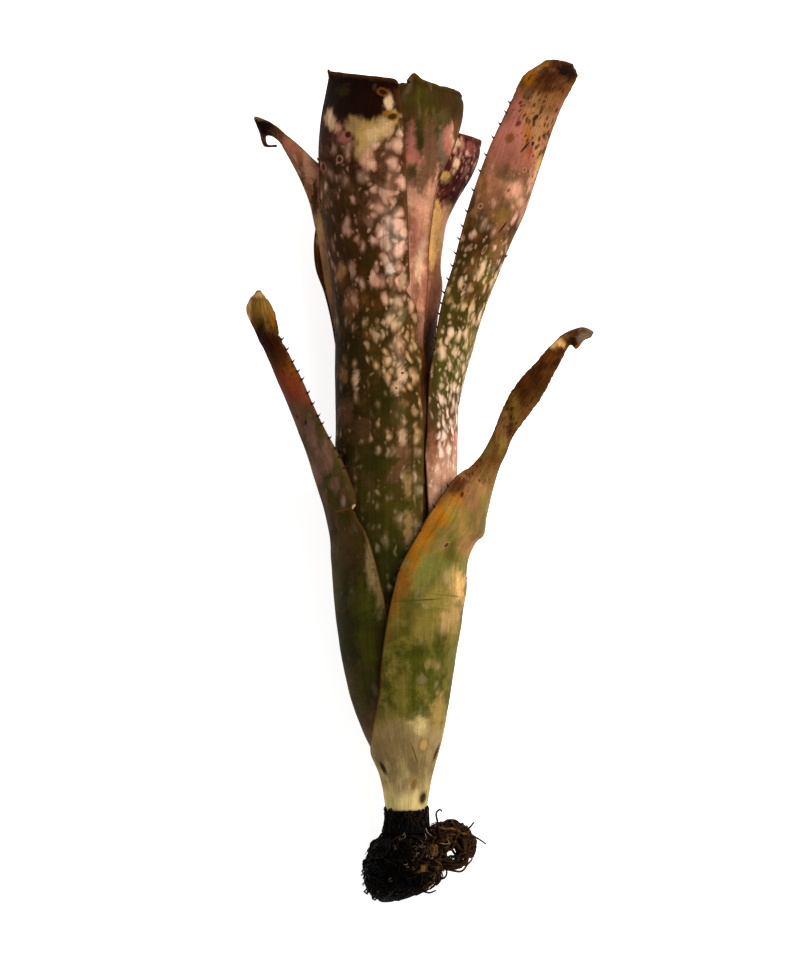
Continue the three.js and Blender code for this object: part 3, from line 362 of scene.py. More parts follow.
PAINT["leaf_front"] = {
    "lean": 0.62,
    "ground": [
        (10, "parchment"), (60, "deep_green"), (108, "deep_green"), (134, "moss"), (164, "dark_olive"),
        (203, "dark_olive"), (237, "umber"), (270, "umber"), (288, "chestnut"), (297, "chestnut"),
        (301, "ink"), (318, "ink"),
    ],
    "mottle": [
        (10, 0, "mauve"), (100, 0.2, "mauve_brown"), (134, 0.25, "mauve_brown"), (164, 0.22, "mauve_brown"),
        (203, 0.24, "bark_brown"), (240, 0.36, "rust"), (265, 0.4, "mauve"), (285, 0.4, "mauve"),
        (299, 0, "mauve"),
    ],
    "ovals": [
        (10, 0, "mauve"), (95, 0.16, "mauve_cream"), (125, 0.3, "mauve_cream"), (150, 0.34, "mauve_cream"),
        (175, 0.42, "tan"), (205, 0.5, "sand"), (232, 0.62, "pink"), (262, 0.6, "pink"), (280, 0.55, "pink"),
        (292, 0.55, "cream"), (299, 0.1, "cream"), (302, 0, "cream"),
    ],
    "washes": [
        (-33, 306, 8, 9, "ink", 1.0), (-20, 309, 9, 8, "ink", 1.0), (-24, 299, 7, 4, "ink", 0.95),
        (-27.5, 293.5, 4.5, 4.2, "sand", 0.85), (-21.5, 290, 5, 5, "butter", 0.9),
        (-15.5, 291.5, 4.4, 4.4, "butter", 0.95), (-25, 283.5, 4.2, 4.6, "sand", 0.8),
        (-22, 279, 3, 4, "pink", 0.7, 0.6), (-12.2, 296.5, 2.6, 3.6, "butter", 0.95),
        (-20, 289, 3, 3.4, "cream", 0.6), (-14, 292, 2.4, 3, "cream", 0.6),
        (-13.6, 303, 2, 3.2, "cream", 0.9), (-38.6, 297, 2.1, 4, "cream", 0.9),
        (-35.4, 293, 1.8, 2, "pink", 0.8), (-32.5, 289, 2.6, 2.4, "rose", 0.8),
        (-8, 306, 4, 5, "umber", 0.85), (-6.4, 288, 2.1, 17, "chestnut", 0.95),
        (-5.2, 262, 2, 20, "mauve", 0.55, 0.35), (-33, 309, 3, 2, "dark_olive", 0.6),
        (-12.8, 232.6, 2, 2.6, "pale_pink", 0.9), (-18.5, 227.6, 1.8, 2.4, "pink", 0.9),
        (-7.6, 228, 1.5, 2.8, "cream", 0.85), (-12, 248, 5.5, 8, "pale_pink", 0.6, 0.95),
        (-17, 262, 4, 7, "pink", 0.45, 0.92), (-11, 272, 3.4, 7, "pink", 0.5, 0.9),
        (-34, 232, 2.2, 4, "tan", 0.7), (-30, 219, 3.4, 6, "brown_rose", 0.55, 0.5),
        (-34, 258, 5, 9, "umber", 0.7, 0.4), (-28, 246, 5, 6, "umber", 0.7, 0.35),
        # The near-black strip at x -36 along the left margin is partly dark tissue and partly painted shade
        # where the leaf curves away from the light.
        (-22, 238, 4, 5, "dark_olive", 0.7, 0.35), (-36, 205, 2, 14, "near_black", 0.45, 0.2),
        (-8.2, 213, 2, 5, "fern", 0.6, 0.3), (-9, 200, 2.4, 5, "brown_rose", 0.65, 0.4),
        (-27.5, 185.6, 1.3, 4, "cream", 0.85), (-32.5, 187.5, 1.6, 3.6, "tan", 0.6),
        (-7.6, 187.6, 2.2, 3, "cream", 0.9), (-10.4, 182, 2, 2.8, "cream", 0.75),
        (-32, 172, 3.6, 6, "mauve", 0.85, 0.2), (-25, 164, 4, 5, "mauve", 0.5, 0.4),
        (-9, 172, 3.4, 7, "grey_olive", 0.6, 0.2), (-16, 176, 4, 8, "deep_green", 0.6, 0.2),
        (-7.5, 156, 3, 8, "brown_rose", 0.5, 0.6), (-7.5, 161, 1.4, 4, "cream", 0.6),
        (-10.6, 145, 3.4, 4, "mauve", 0.6, 0.4), (-5.4, 142, 1.8, 6, "sand", 0.65),
        (-32, 144.5, 4.4, 4, "mauve", 0.8, 0.1), (-30, 134, 3, 5, "mauve_brown", 0.6, 0.1),
        (-20, 150, 4, 6, "deep_green", 0.6, 0.25), (-9, 128, 5, 9, "moss", 0.75, 0.1),
        (-5, 122, 1.8, 8, "sand", 0.5), (-20, 120, 6, 9, "deep_green", 0.6, 0.1),
        (-27, 112, 3, 10, "mauve_brown", 0.4), (-10.5, 214, 3.6, 8, "cream", 0.6, 0.95),
        (-9.5, 196, 3, 7, "cream", 0.5, 0.95), (-33.5, 163, 4, 9, "tan", 0.5, 0.92),
    ],
    "dry": [(-24, 316, 18, 2.6, 0.7)],
    "scars": [
        (-15.9, 307.6, 1.3, 1.2, 0, "ink", "orange"), (-14, 298.6, 0.8, 1.0, 0, "orange", "straw"),
        (-11.8, 297.2, 1.1, 1.4, -20, "ink", "orange"), (-30.7, 289.8, 0.9, 1.4, 0, "ink", "rose"),
        (-34.4, 279.5, 0.8, 1.1, 0, "ink", "pink"), (-42.1, 276.9, 1.1, 1.4, 0, "ink", "rose"),
        (-7.6, 188.3, 0.5, 0.5, 0, "ink"), (-10.2, 182, 0.4, 0.4, 0, "ink"),
        (-22.5, 228.5, 0.5, 0.6, 0, "ink", "mauve"),
    ],
}
PAINT["leaf_right_tall"] = {
    "lean": 0.15,
    "ground": [
        (15, "parchment"), (70, "deep_green"), (118, "mauve"), (126, "brown_rose"), (134, "dusty_pink"),
        (146, "dusty_pink"), (158, "brown_rose"), (168, "mauve"), (178, "grey_olive"), (192, "fern"),
        (210, "moss"), (236, "dark_olive"), (248, "umber"), (262, "mauve"), (280, "brown_rose"),
        (294, "rose"), (304, "brown_rose"), (312, "bark_brown"), (317, "rust"), (323, "chestnut"),
    ],
    "mottle": [
        (15, 0, "cream"), (125, 0.4, "mauve"), (145, 0.4, "pink"), (162, 0.4, "moss"), (180, 0.2, "fern"),
        (225, 0.3, "bark_brown"), (245, 0.45, "bark_brown"), (262, 0.5, "tan"), (285, 0.5, "rose"),
        (305, 0.4, "tan"), (320, 0.3, "near_black"),
    ],
    "ovals": [
        (15, 0, "cream"), (130, 0.35, "pink"), (148, 0.75, "pale_pink"), (165, 0.9, "pale_pink"),
        (190, 0.88, "cream"), (208, 0.72, "cream"), (220, 0.68, "butter"), (236, 0.55, "cream"),
        (250, 0.3, "pink"), (275, 0.25, "pink"), (300, 0, "pink"),
    ],
    "washes": [
        (52, 300, 6, 22, "tan", 0.8), (56, 306, 6, 9, "bark_brown", 0.65),
        (55, 315.5, 7, 6, "chestnut", 0.95), (63, 317.5, 5, 3.6, "near_black", 0.95),
        (50, 312, 4, 4, "rust", 0.7), (47, 316, 3, 4, "orange", 0.95), (51, 321.5, 5, 1.6, "orange", 0.8),
        (42.5, 307, 1.5, 6, "orange", 0.6), (45.8, 291, 1.6, 8, "orange", 0.85),
        (46.8, 284, 1.5, 5, "brick", 0.7), (40, 294, 3.6, 9, "rose", 0.8), (35, 283, 3.4, 8, "rose", 0.7),
        (42, 305, 2, 5, "rose", 0.6), (43.5, 281, 3, 5, "rose", 0.55), (51.5, 277, 2, 7, "butter", 0.75),
        (49.5, 268, 1.8, 8, "pink", 0.7), (37, 273, 5, 4, "grey_olive", 0.6, 0.1),
        (42, 267, 3, 3.4, "pink", 0.8), (38.6, 266, 2.4, 4, "pink", 0.6),
        (31, 263, 4, 5, "brown_rose", 0.5, 0.3), (44, 256, 2.4, 6, "pink", 0.6, 0.2),
        (27, 273, 1.8, 12, "bark_brown", 0.7), (21.5, 259, 1.7, 10, "dark_olive", 0.7),
        (27, 252, 3.6, 4, "grey_olive", 0.7, 0.3), (33, 242, 4, 5, "tan", 0.5, 0.6),
        (19, 241, 3, 6, "dark_olive", 0.7, 0.4), (13, 222, 3, 12, "moss", 0.75, 0.3),
        (28, 232, 3.6, 8, "khaki", 0.35, 0.85), (35, 256, 4, 4, "straw", 0.7, 0.1),
        # The dark olive strip at x 5.6 and the umber one at x 3.6 along the left margin are partly darker
        # tissue and partly painted shade under the front leaf's right margin.
        (21, 205, 2.4, 10, "butter", 0.4, 0.92), (5.6, 180, 2, 24, "dark_olive", 0.7, 0.1),
        (3.6, 164, 1.4, 9, "umber", 0.9), (5, 154, 2.2, 9, "brown_rose", 0.6),
        (15.5, 152, 1.6, 12, "pink", 0.6, 0.3),
    ],
    "flecks": [(51, 296, 8, 22, 0.95), (55, 312, 9, 8, 0.7)],
    "dry": [(57, 317, 13, 9, 1.0), (53, 301, 7, 16, 0.55)],
    "scars": [
        (46.4, 308.3, 1.2, 1.7, -10, "mauve", "plum"), (43, 304.4, 0.8, 0.9, 0, "plum", "rose"),
        (42.1, 295.4, 1.0, 1.3, -20, "plum", "rose"), (38.3, 289, 1.2, 1.6, 0, "burnt_orange", "plum"),
        (44.9, 285.1, 0.6, 2.8, -25, "ink", "rose"), (49.5, 298, 0.9, 1.4, -20, "near_black"),
        (48.2, 286.8, 0.7, 1.0, 0, "near_black", "tan"), (44.7, 275.6, 0.6, 0.7, 0, "plum", "pink"),
        (37.8, 266.6, 0.6, 1.0, -20, "burnt_orange"), (25.8, 259.7, 0.7, 0.8, 0, "plum", "pink"),
        (35.3, 250.7, 0.5, 3.0, -22, "ink", "brown_rose"), (27.5, 241.2, 0.5, 1.4, -15, "umber", "pink"),
        (18.5, 225.3, 0.6, 1.0, -10, "umber", "pink"),
    ],
}
PAINT["leaf_front_right"] = {
    "lean": 0.1,
    "ground": [
        (20, "parchment"), (80, "deep_green"), (160, "umber"), (185, "umber"), (205, "bark_brown"),
        (218, "brown_rose"), (240, "brown_rose"), (256, "brown_rose"), (268, "mauve"), (285, "mauve"),
        (296, "umber"), (303, "dark_olive"), (318, "dark_olive"),
    ],
    "mottle": [
        (20, 0, "pink"), (180, 0.3, "umber"), (205, 0.3, "pink"), (235, 0.5, "pink"), (262, 0.45, "pink"),
        (285, 0.3, "brown_rose"), (303, 0.4, "dark_olive"), (318, 0.3, "dark_olive"),
    ],
    "ovals": [
        (20, 0, "pink"), (180, 0, "tan"), (215, 0.2, "pink"), (245, 0.3, "pale_pink"), (270, 0.3, "pink"),
        (288, 0.35, "pink"), (300, 0.1, "pink"),
    ],
    "washes": [
        (2, 303, 9, 6, "moss", 0.85), (11, 302, 5, 5, "umber", 0.7), (-4.5, 296, 1.8, 5, "umber", 0.8),
        (-4, 287, 2, 7, "rose", 0.95), (2.2, 296, 5.5, 4, "moss", 0.8), (-0.2, 288, 2, 7, "deep_green", 0.95),
        (7.5, 291, 2.4, 6, "deep_green", 0.85), (4, 284, 2.6, 13, "mauve", 0.95),
        (4.4, 263, 2.6, 7, "pink", 0.6), (9.4, 284, 1.8, 9, "ash", 0.75), (12, 288, 1.9, 6, "rose", 0.85),
        (10.5, 298, 2.4, 4, "grey_olive", 0.7), (-3.4, 280, 3, 3.4, "rose", 0.9),
        (-3, 274, 3.4, 3, "deep_green", 0.8), (-3.6, 264, 2.6, 5, "pink", 0.75),
        (8.5, 268, 1.4, 10, "maroon", 0.7), (1, 252, 3, 10, "pink", 0.45), (-0.6, 234, 1.5, 8, "cream", 0.95),
        (-2.2, 246, 1.4, 9, "rose", 0.6), (2, 226, 2, 9, "rose", 0.5), (4.6, 238, 1.4, 18, "straw", 0.55),
        (0, 208, 2, 8, "lilac", 0.6), (3.4, 205, 1.4, 12, "umber", 0.8), (-2, 190, 4, 16, "chestnut", 0.8),
    ],
    "dry": [(0, 311, 20, 3, 0.5)],
}
PAINT["leaf_right_inner"] = {
    "lean": 0.1,
    "ground": [
        (25, "parchment"), (120, "umber"), (190, "chestnut"), (206, "umber"), (216, "brown_rose"),
        (228, "brown_rose"), (238, "tan"), (248, "butter"), (256, "sand"), (263, "maroon"), (294, "maroon"),
    ],
    "mottle": [
        (25, 0, "pink"), (200, 0.4, "chestnut"), (235, 0.4, "brown_rose"), (255, 0.4, "butter"),
        (265, 0.4, "plum"), (294, 0.35, "plum"),
    ],
    "ovals": [
        (25, 0, "pink"), (200, 0.1, "tan"), (240, 0.15, "pink"), (258, 0.3, "pink"), (266, 0.45, "rose"),
        (278, 0.55, "pink"), (290, 0.45, "rose"),
    ],
    "washes": [
        (7, 253, 2.4, 11, "honey", 0.9), (10.4, 246, 1.5, 15, "pink", 0.85), (4.8, 242, 1.8, 9, "honey", 0.8),
        # The chestnut wash at x 6, h 204 is painted shade in the dark opening where this leaf runs down
        # between the front leaf and the tall right leaf.
        (8, 226, 2.4, 10, "brown_rose", 0.6), (6, 204, 3, 7, "chestnut", 0.85),
        (15.6, 287.2, 1.9, 1.7, "cream", 0.95), (15.8, 279, 1.5, 2.2, "cream", 0.95),
        (10.6, 272.6, 2.1, 2.4, "butter", 0.9), (22, 285, 3, 3, "rose", 0.4, 0.8),
        (19, 270, 4, 4, "ink", 0.5, 0.6), (12, 264, 3, 3, "ink", 0.7, 0.2),
    ],
}
PAINT["leaf_back"] = {
    "lean": 0,
    "ground": [
        (30, "parchment"), (80, "deep_green"), (150, "dark_olive"), (215, "umber"), (236, "chestnut"),
        (247, "burnt_orange"), (253, "umber"), (262, "umber"), (294, "umber"),
    ],
    "mottle": [(30, 0, "mauve"), (100, 0.3, "mauve_brown"), (220, 0.4, "chestnut"), (294, 0.4, "brown_rose")],
    "ovals": [
        (30, 0, "pink"), (100, 0.3, "mauve"), (200, 0.5, "tan"), (262, 0.6, "pink"), (290, 0.2, "pink"),
    ],
    "washes": [(-45, 249.5, 3, 3, "orange", 0.7), (-44.5, 232, 3, 12, "chestnut", 0.8, 0.1)],
    "dry": [(-19, 290, 14, 8, 0.6)],
}
PAINT["leaf_left_curled"] = {
    "lean": 0.1,
    "ground": [
        (35, "parchment"), (120, "umber"), (190, "mauve"), (215, "bark_brown"), (235, "tan"), (252, "tan"),
        (262, "brown_rose"), (275, "brown_rose"), (285, "brown_rose"), (290, "mauve"), (294, "near_black"),
        (299, "near_black"),
    ],
    "mottle": [
        (35, 0, "mauve"), (200, 0.4, "mauve"), (240, 0.4, "ash"), (262, 0.5, "pink"), (280, 0.5, "pink"),
        (292, 0, "pink"),
    ],
    "ovals": [(35, 0, "pink"), (190, 0, "tan"), (245, 0.2, "pink"), (280, 0.3, "pink"), (290, 0, "pink")],
    "washes": [
        # The moss strip at x -51, h 274 is painted shade in the leaf's fold.
        (-45.4, 262, 1.3, 9, "dark_olive", 0.85), (-51, 274, 1.6, 5, "moss", 0.75),
        (-43, 250, 1, 10, "sand", 0.6), (-42, 268, 1, 10, "maroon", 0.75), (-41, 277, 1.8, 5, "pink", 0.8),
        (-48, 280, 2, 5, "pink", 0.7), (-56, 286, 3, 4, "rose", 0.6), (-67, 294, 4, 5, "near_black", 0.95),
        (-69, 298.4, 3, 1, "straw", 0.85), (-64, 287, 5, 2.4, "near_black", 1.0),
        (-61, 292, 2.4, 2.4, "umber", 0.8), (-43, 225, 3, 14, "ash", 0.6), (-36, 214, 4, 8, "chestnut", 0.6),
    ],
    "flecks": [(-52, 280, 7, 9, 0.3)],
    "dry": [(-66, 291, 9, 8, 1.0)],
}

# The roots. The ball's core: (h, x, z, half width, half depth)
ROOT_CORE = [
    (-40, -14.6, 17.5, 2.4, 3.5), (-38, -12.8, 17.5, 7, 9.5), (-35, -10, 17.3, 11.4, 14.5),
    (-31, -8, 17.2, 14.8, 18.2), (-26, -7.2, 17.2, 15.7, 19.4), (-20, -6.8, 17.6, 15.2, 19),
    (-15, -6.9, 18.6, 13.6, 16), (-12, -6.2, 19.6, 11.2, 12.4), (-9.6, -5.5, 20, 9.6, 9.8),
]
# Wiry roots that stand clear, as points (x, h, z)
WIRY_ROOTS = [
    [(4, -16, 24), (8.4, -13, 27), (7.6, -5, 28.5), (7, -1, 28.5), (8.6, 0.6, 28), (9.6, -0.2, 27.5)],
    [(14, -12, 20), (19, -8.8, 22), (21.5, -7.4, 22.5), (23.4, -5, 23)],
    [(12, -15, 16), (20, -10.6, 17), (24.5, -12.2, 17), (28.8, -15, 16.5)],
    [(3, -24, 14), (13, -26.4, 13), (18, -27, 13), (20.6, -24, 14), (22.6, -21, 15), (19, -17, 16)],
    [(2, -25, 20), (7.8, -28.8, 20), (10, -29.6, 20), (11.6, -27.6, 19), (11, -22, 18)],
    [(-18, -20, 20), (-23, -26, 21), (-24, -29, 21), (-23, -33, 20.5)],
    [(-4, -34, 22), (1, -34.8, 23), (4, -35.6, 23), (7, -34.6, 22.5)],
]
WIRY_RADIUS = 0.55
# Pale roots on the ball, as points (x, h, z)
PALE_ROOTS = [
    [(2.6, -7.2, 31.4), (3, -8.6, 32), (4, -9.6, 32.2), (5.2, -10.4, 31.8)],
    [(16.6, -8, 25.6), (17.3, -8.8, 26), (17, -10, 26), (16.8, -10.8, 25.6)],
    [(-22, -26, 23), (-23.2, -28.2, 23.6), (-24, -30.4, 23.4), (-24.3, -32.6, 22.8)],
    [(-21.4, -29, 25.4), (-20.8, -30.4, 25.8), (-20, -31.8, 25.6), (-19.4, -34, 24.6)],
    [(8.8, -13.8, 27.6), (10.6, -14.2, 28.2), (12.6, -13.8, 28), (11.4, -11.6, 27.4)],
    [(-0.6, -14.4, 36.4), (0.6, -15.2, 36.6), (1.6, -15, 36.2), (2.4, -15.6, 35.6)],
]
PALE_RADIUS = 0.24
# The oval that the loops of the mat fill at the ball's right
MAT = {"x": 12.8, "h": -15.4, "reach_x": 11, "reach_h": 10.6, "low_z": 9, "high_z": 27}
# The cap that the roots across the ball's foot lie on: its middle, its half width and depth, and how far
# its rim lies to the right of its middle and above it
FOOT_CAP = {"x": -14, "h": -40, "z": 17.4, "half_width": 13, "half_depth": 16.5, "lean": 4, "rise": 6}
# The mat's solid lumps: (x, h, z, half width, half length, half depth)
MAT_LUMPS = [
    (13, -9.6, 19, 8.6, 4.8, 7.4), (19, -15.8, 18.4, 4.9, 5.4, 6.4), (6.4, -17, 19, 4.6, 7.8, 8),
    (12.4, -24.3, 17, 6.2, 1.5, 2.6), (10.4, -12.8, 21, 5.4, 4.8, 6),
]
# Its gaps, which the floor shows through: (x, h, half width, half length)
MAT_GAPS = [(14.2, -20.9, 2.5, 1.35), (10.3, -21.9, 1.3, 0.7)]
# Pieces of bark held among the roots: centre (x, h, z), size, and tilt about the three axes in degrees
BARK_PIECES = [
    ((5.8, -17, 28.9), (4.2, 4.6, 2.4), (20, 48, 25)),
    ((-0.6, -24.6, 34.9), (7.4, 3.4, 2.2), (-8, 16, 8)),
    ((13.8, -9.6, 23.5), (4.8, 4, 2.4), (-24, 10, -20)),
]
# The fibre collar's sleeve: its lowest and highest h and its radius
COLLAR_FOOT = -9.6
COLLAR_TOP = -0.3
COLLAR_RADIUS = 9
# Colours of the roots and fibres; tan is partly paler roots and partly painted highlight on a few strands
FIBRE_COLOURS = {
    "core": "#050302", "lump": "#150b05", "black": "#030202", "brown": "#33200f", "tan": "#6a4620",
    "straw": "#a8926f", "sheath_black": "#040303", "sheath_brown": "#2a1d14",
}
# How brown a group of strands is: 0 for none, and at STRAW they are pale hairs
STRAW = 1.0

# The floor's half width and its drop below the plant's lowest points, in metres
FLOOR_REACH = 3.0
FLOOR_DROP = 0.0002
# The lights: name, place, width and height in metres, and the setting and the share of it that is the
# power, and the point that they all face
LIGHTS = [
    ("key", (0.95, 0.6, 1.25), (1.4, 1.1), "key_power", 1),
    ("fill", (-1.4, -0.2, 1.2), (1.4, 1.4), "fill_power", 1),
    ("low", (0.5, -1.3, 0.9), (1.2, 1.2), "fill_power", 0.7),
]
LIT_POINT = (0, 0, 0.03)

# Settings that many nodes share
SOFT_BOUNDS = {"interpolation_type": "SMOOTHSTEP"}
COLOUR_MIX = {"data_type": "RGBA", "out": 2}

# Every pattern and every group of strands has its own seed, a fixed step from this one
SEED = 20771


def to_linear(hex_colour):
    """An sRGB hex colour as linear red, green, blue and alpha 1."""
    levels = [int(hex_colour[i:i + 2], 16) / 255 for i in (1, 3, 5)]
    return [v / 12.92 if v <= 0.04045 else ((v + 0.055) / 1.055) ** 2.4 for v in levels] + [1.0]


def palette_colour(name):
    """A colour of the palette as linear red, green, blue and alpha 1."""
    return to_linear(PALETTE[name])


def hermite(first, second, leave, reach, width, t):
    """A cubic from first to second with the slopes leave and reach, for t from 0 to 1 over the width."""
    ends = first * (2 * t ** 3 - 3 * t ** 2 + 1) + second * (3 * t ** 2 - 2 * t ** 3)
    bends = leave * (t ** 3 - 2 * t ** 2 + t) + reach * (t ** 3 - t ** 2)
    return ends + bends * width


def curve_through(points):
    """A cubic through chosen points, whose slope at each is the harmonic mean of the slopes beside it."""
    xs, ys = np.array(points, float).T
    chords = np.diff(ys) / np.diff(xs)
    product = chords[:-1] * chords[1:]
    total = np.where(product > 0, chords[:-1] + chords[1:], 1)
    slopes = np.concatenate([chords[:1], np.where(product > 0, 2 * product / total, 0), chords[-1:]])

    def at(x):
        x = np.clip(x, xs[0], xs[-1])
        i = np.clip(np.searchsorted(xs, x) - 1, 0, len(xs) - 2)
        width = xs[i + 1] - xs[i]
        return hermite(ys[i], ys[i + 1], slopes[i], slopes[i + 1], width, (x - xs[i]) / width)

    return at


axis_x = curve_through(TUBE_AXIS_X)
axis_z = curve_through(TUBE_AXIS_Z)
tube_radius = curve_through(TUBE_RADIUS)
layer_step = curve_through(LAYER_STEP)
leaf_thickness = curve_through(LEAF_THICKNESS)


def smooth_step(low, high, value):
    """0 below low, 1 above high, and 3t squared less 2t cubed between them."""
    t = np.clip((value - low) / (high - low), 0, 1)
    return t * t * (3 - 2 * t)


def ripple(a, b, size, seed):
    """Soft unevenness, mostly from -1 to 1: seven sine waves over a and b, of about the given wavelength."""
    random = np.random.default_rng(seed)
    turn, phase = random.uniform(0, 2 * np.pi, (2, 7))
    length = size * random.uniform(0.6, 1.6, 7)
    a, b = np.broadcast_arrays(a, b)
    way = a[..., None] * np.cos(turn) + b[..., None] * np.sin(turn)
    return np.sin(2 * np.pi * way / length + phase).sum(axis=-1) / 4


def sine_span(start, end):
    """The least and greatest sine met while turning from start to end, in degrees."""
    sines = [np.sin(np.radians(start)), np.sin(np.radians(end))]
    for turn in (-270, -90, 90, 270):
        inside = (turn > start) & (turn < end)
        sines.append(np.where(inside, np.sin(np.radians(turn)), sines[0]))
    return np.min(sines, axis=0), np.max(sines, axis=0)


# Columns of a leaf's sections
START, END, HEIGHT = 6, 7, 8


def leaf_sections(leaf):
    """A leaf's sections as columns: centre x, h, z, radius, across x, across h, start, end, height.

    A sheath's section is centred on the tube's axis. A blade's section is an arc whose ends, seen from
    above, are its left and right points: its radius is their distance over the span of the sines.
    """
    sheath = np.array(leaf["sheath"], float)
    top = sheath[-1, 0]
    between = [h for h in SHEATH_HEIGHTS if leaf["foot"] + SECTION_GAP < h < top - SECTION_GAP]
    h = np.sort(np.array([leaf["foot"], *between, *leaf["extra_heights"], top], float))
    radius = tube_radius(h) - leaf["layer"] * layer_step(h)
    start = curve_through(sheath[:, [0, 1]])(h)
    end = curve_through(sheath[:, [0, 2]])(h)
    hugging = [axis_x(h), h, axis_z(h), radius, np.ones_like(h), np.zeros_like(h), start, end, h]
    blade = np.array(leaf["blade"], float)
    chord = blade[:, 2:4] - blade[:, 0:2]
    width = np.linalg.norm(chord, axis=1)
    low, high = sine_span(blade[:, 4], blade[:, 5])
    radius = width / (high - low)
    across = chord / width[:, None]
    centre = blade[:, 0:2] - (low * radius)[:, None] * across
    height = (blade[:, 1] + blade[:, 3]) / 2
    free = [*centre.T, blade[:, 6], radius, *across.T, blade[:, 4], blade[:, 5], height]
    return np.concatenate([np.stack(hugging, 1), np.stack(free, 1)])


def arc_points(leaf, sections, index, place):
    """Points of the sections at index: centre plus radius times sine across and cosine upwards."""
    x, h, z, radius, across_x, across_h, start, end, _ = np.moveaxis(sections[index], -1, 0)[..., None]
    turn = np.radians(start + (end - start) * place)
    points = np.stack([
        x + radius * np.sin(turn) * across_x,
        h + radius * np.sin(turn) * across_h,
        np.maximum(z + radius * np.cos(turn), 0),
    ], axis=-1)
    if "rim" in leaf:
        rise = curve_through(leaf["rim"])(place) * (index == len(sections) - 1)[:, None]
        points[..., 0] -= rise * across_h
        points[..., 1] += rise * across_x
    return points


def leaf_surface(leaf, sections, along, place):
    """The leaf's outer face: a cubic Hermite curve along the leaf through its sections' arcs.

    along runs from 0 to 1 by length on the midline, and place from 0 at the left edge to 1 at the right.
    The slope at a section is the mean of the slopes beside it, each weighted by the other's spacing.
    """
    count = len(sections)
    middle = arc_points(leaf, sections, np.arange(count), np.full((count, 1), 0.5))[:, 0]
    knots = np.concatenate([[0], np.cumsum(np.linalg.norm(np.diff(middle, axis=0), axis=1))])
    at = along * knots[-1]
    i = np.clip(np.searchsorted(knots, at) - 1, 0, count - 2)
    rows = [arc_points(leaf, sections, np.clip(i + step, 0, count - 1), place) for step in (-1, 0, 1, 2)]
    before, first, second, after = rows
    spans = np.diff(knots)
    here = spans[i][:, None, None]
    behind = spans[np.maximum(i - 1, 0)][:, None, None]
    ahead = spans[np.minimum(i + 1, count - 2)][:, None, None]
    chord = (second - first) / here
    back_chord = np.where((i > 0)[:, None, None], (first - before) / behind, chord)
    next_chord = np.where((i < count - 2)[:, None, None], (after - second) / ahead, chord)
    leave = (back_chord * here + chord * behind) / (here + behind)
    reach = (chord * ahead + next_chord * here) / (here + ahead)
    t = ((at - knots[i]) / spans[i])[:, None, None]
    points = hermite(first, second, leave, reach, here, t)
    points[..., 2] = np.maximum(points[..., 2], 0)
    return points, knots[-1]


def unit(vectors):
    """Vectors brought to a length of 1."""
    return vectors / np.maximum(np.linalg.norm(vectors, axis=-1, keepdims=True), 1e-9)


def grid_normals(grid):
    """The direction square to a grid at each point: the slope along a row cross the slope up a column."""
    return unit(np.cross(np.gradient(grid, axis=1), np.gradient(grid, axis=0)))


def run_lengths(grid, axis):
    """Length along a grid's lines in one direction, from 0 at the first point."""
    steps = np.linalg.norm(np.diff(grid, axis=axis), axis=-1)
    start = np.zeros_like(np.take(steps, [0], axis=axis))
    return np.concatenate([start, np.cumsum(steps, axis=axis)], axis=axis)


def nicked_places(leaf, place, heights, width, dry_edges, seed):
    """Places moved in from an edge where it has a nick, by depth times exp(-(distance/half length)^2).

    Where the tissue has dried, both edges are ragged by about a third of a millimetre, and at most by one.
    """
    for side, edge in enumerate(("left", "right")):
        share = np.zeros_like(width)
        for at_edge, h, depth, half in leaf["nicks"]:
            if at_edge == edge:
                share += depth * np.exp(-((heights[edge] - h) / half) ** 2)
        ragged = ripple(heights[edge], 40 * side, 3.5, seed) + ripple(heights[edge], 40 * side, 1.7, seed + 1)
        share += dry_edges * 0.3 * (1 + ragged)
        share = (share / width)[:, None]
        place = place * (1 - share) if edge == "right" else 1 - (1 - place) * (1 - share)
    return place


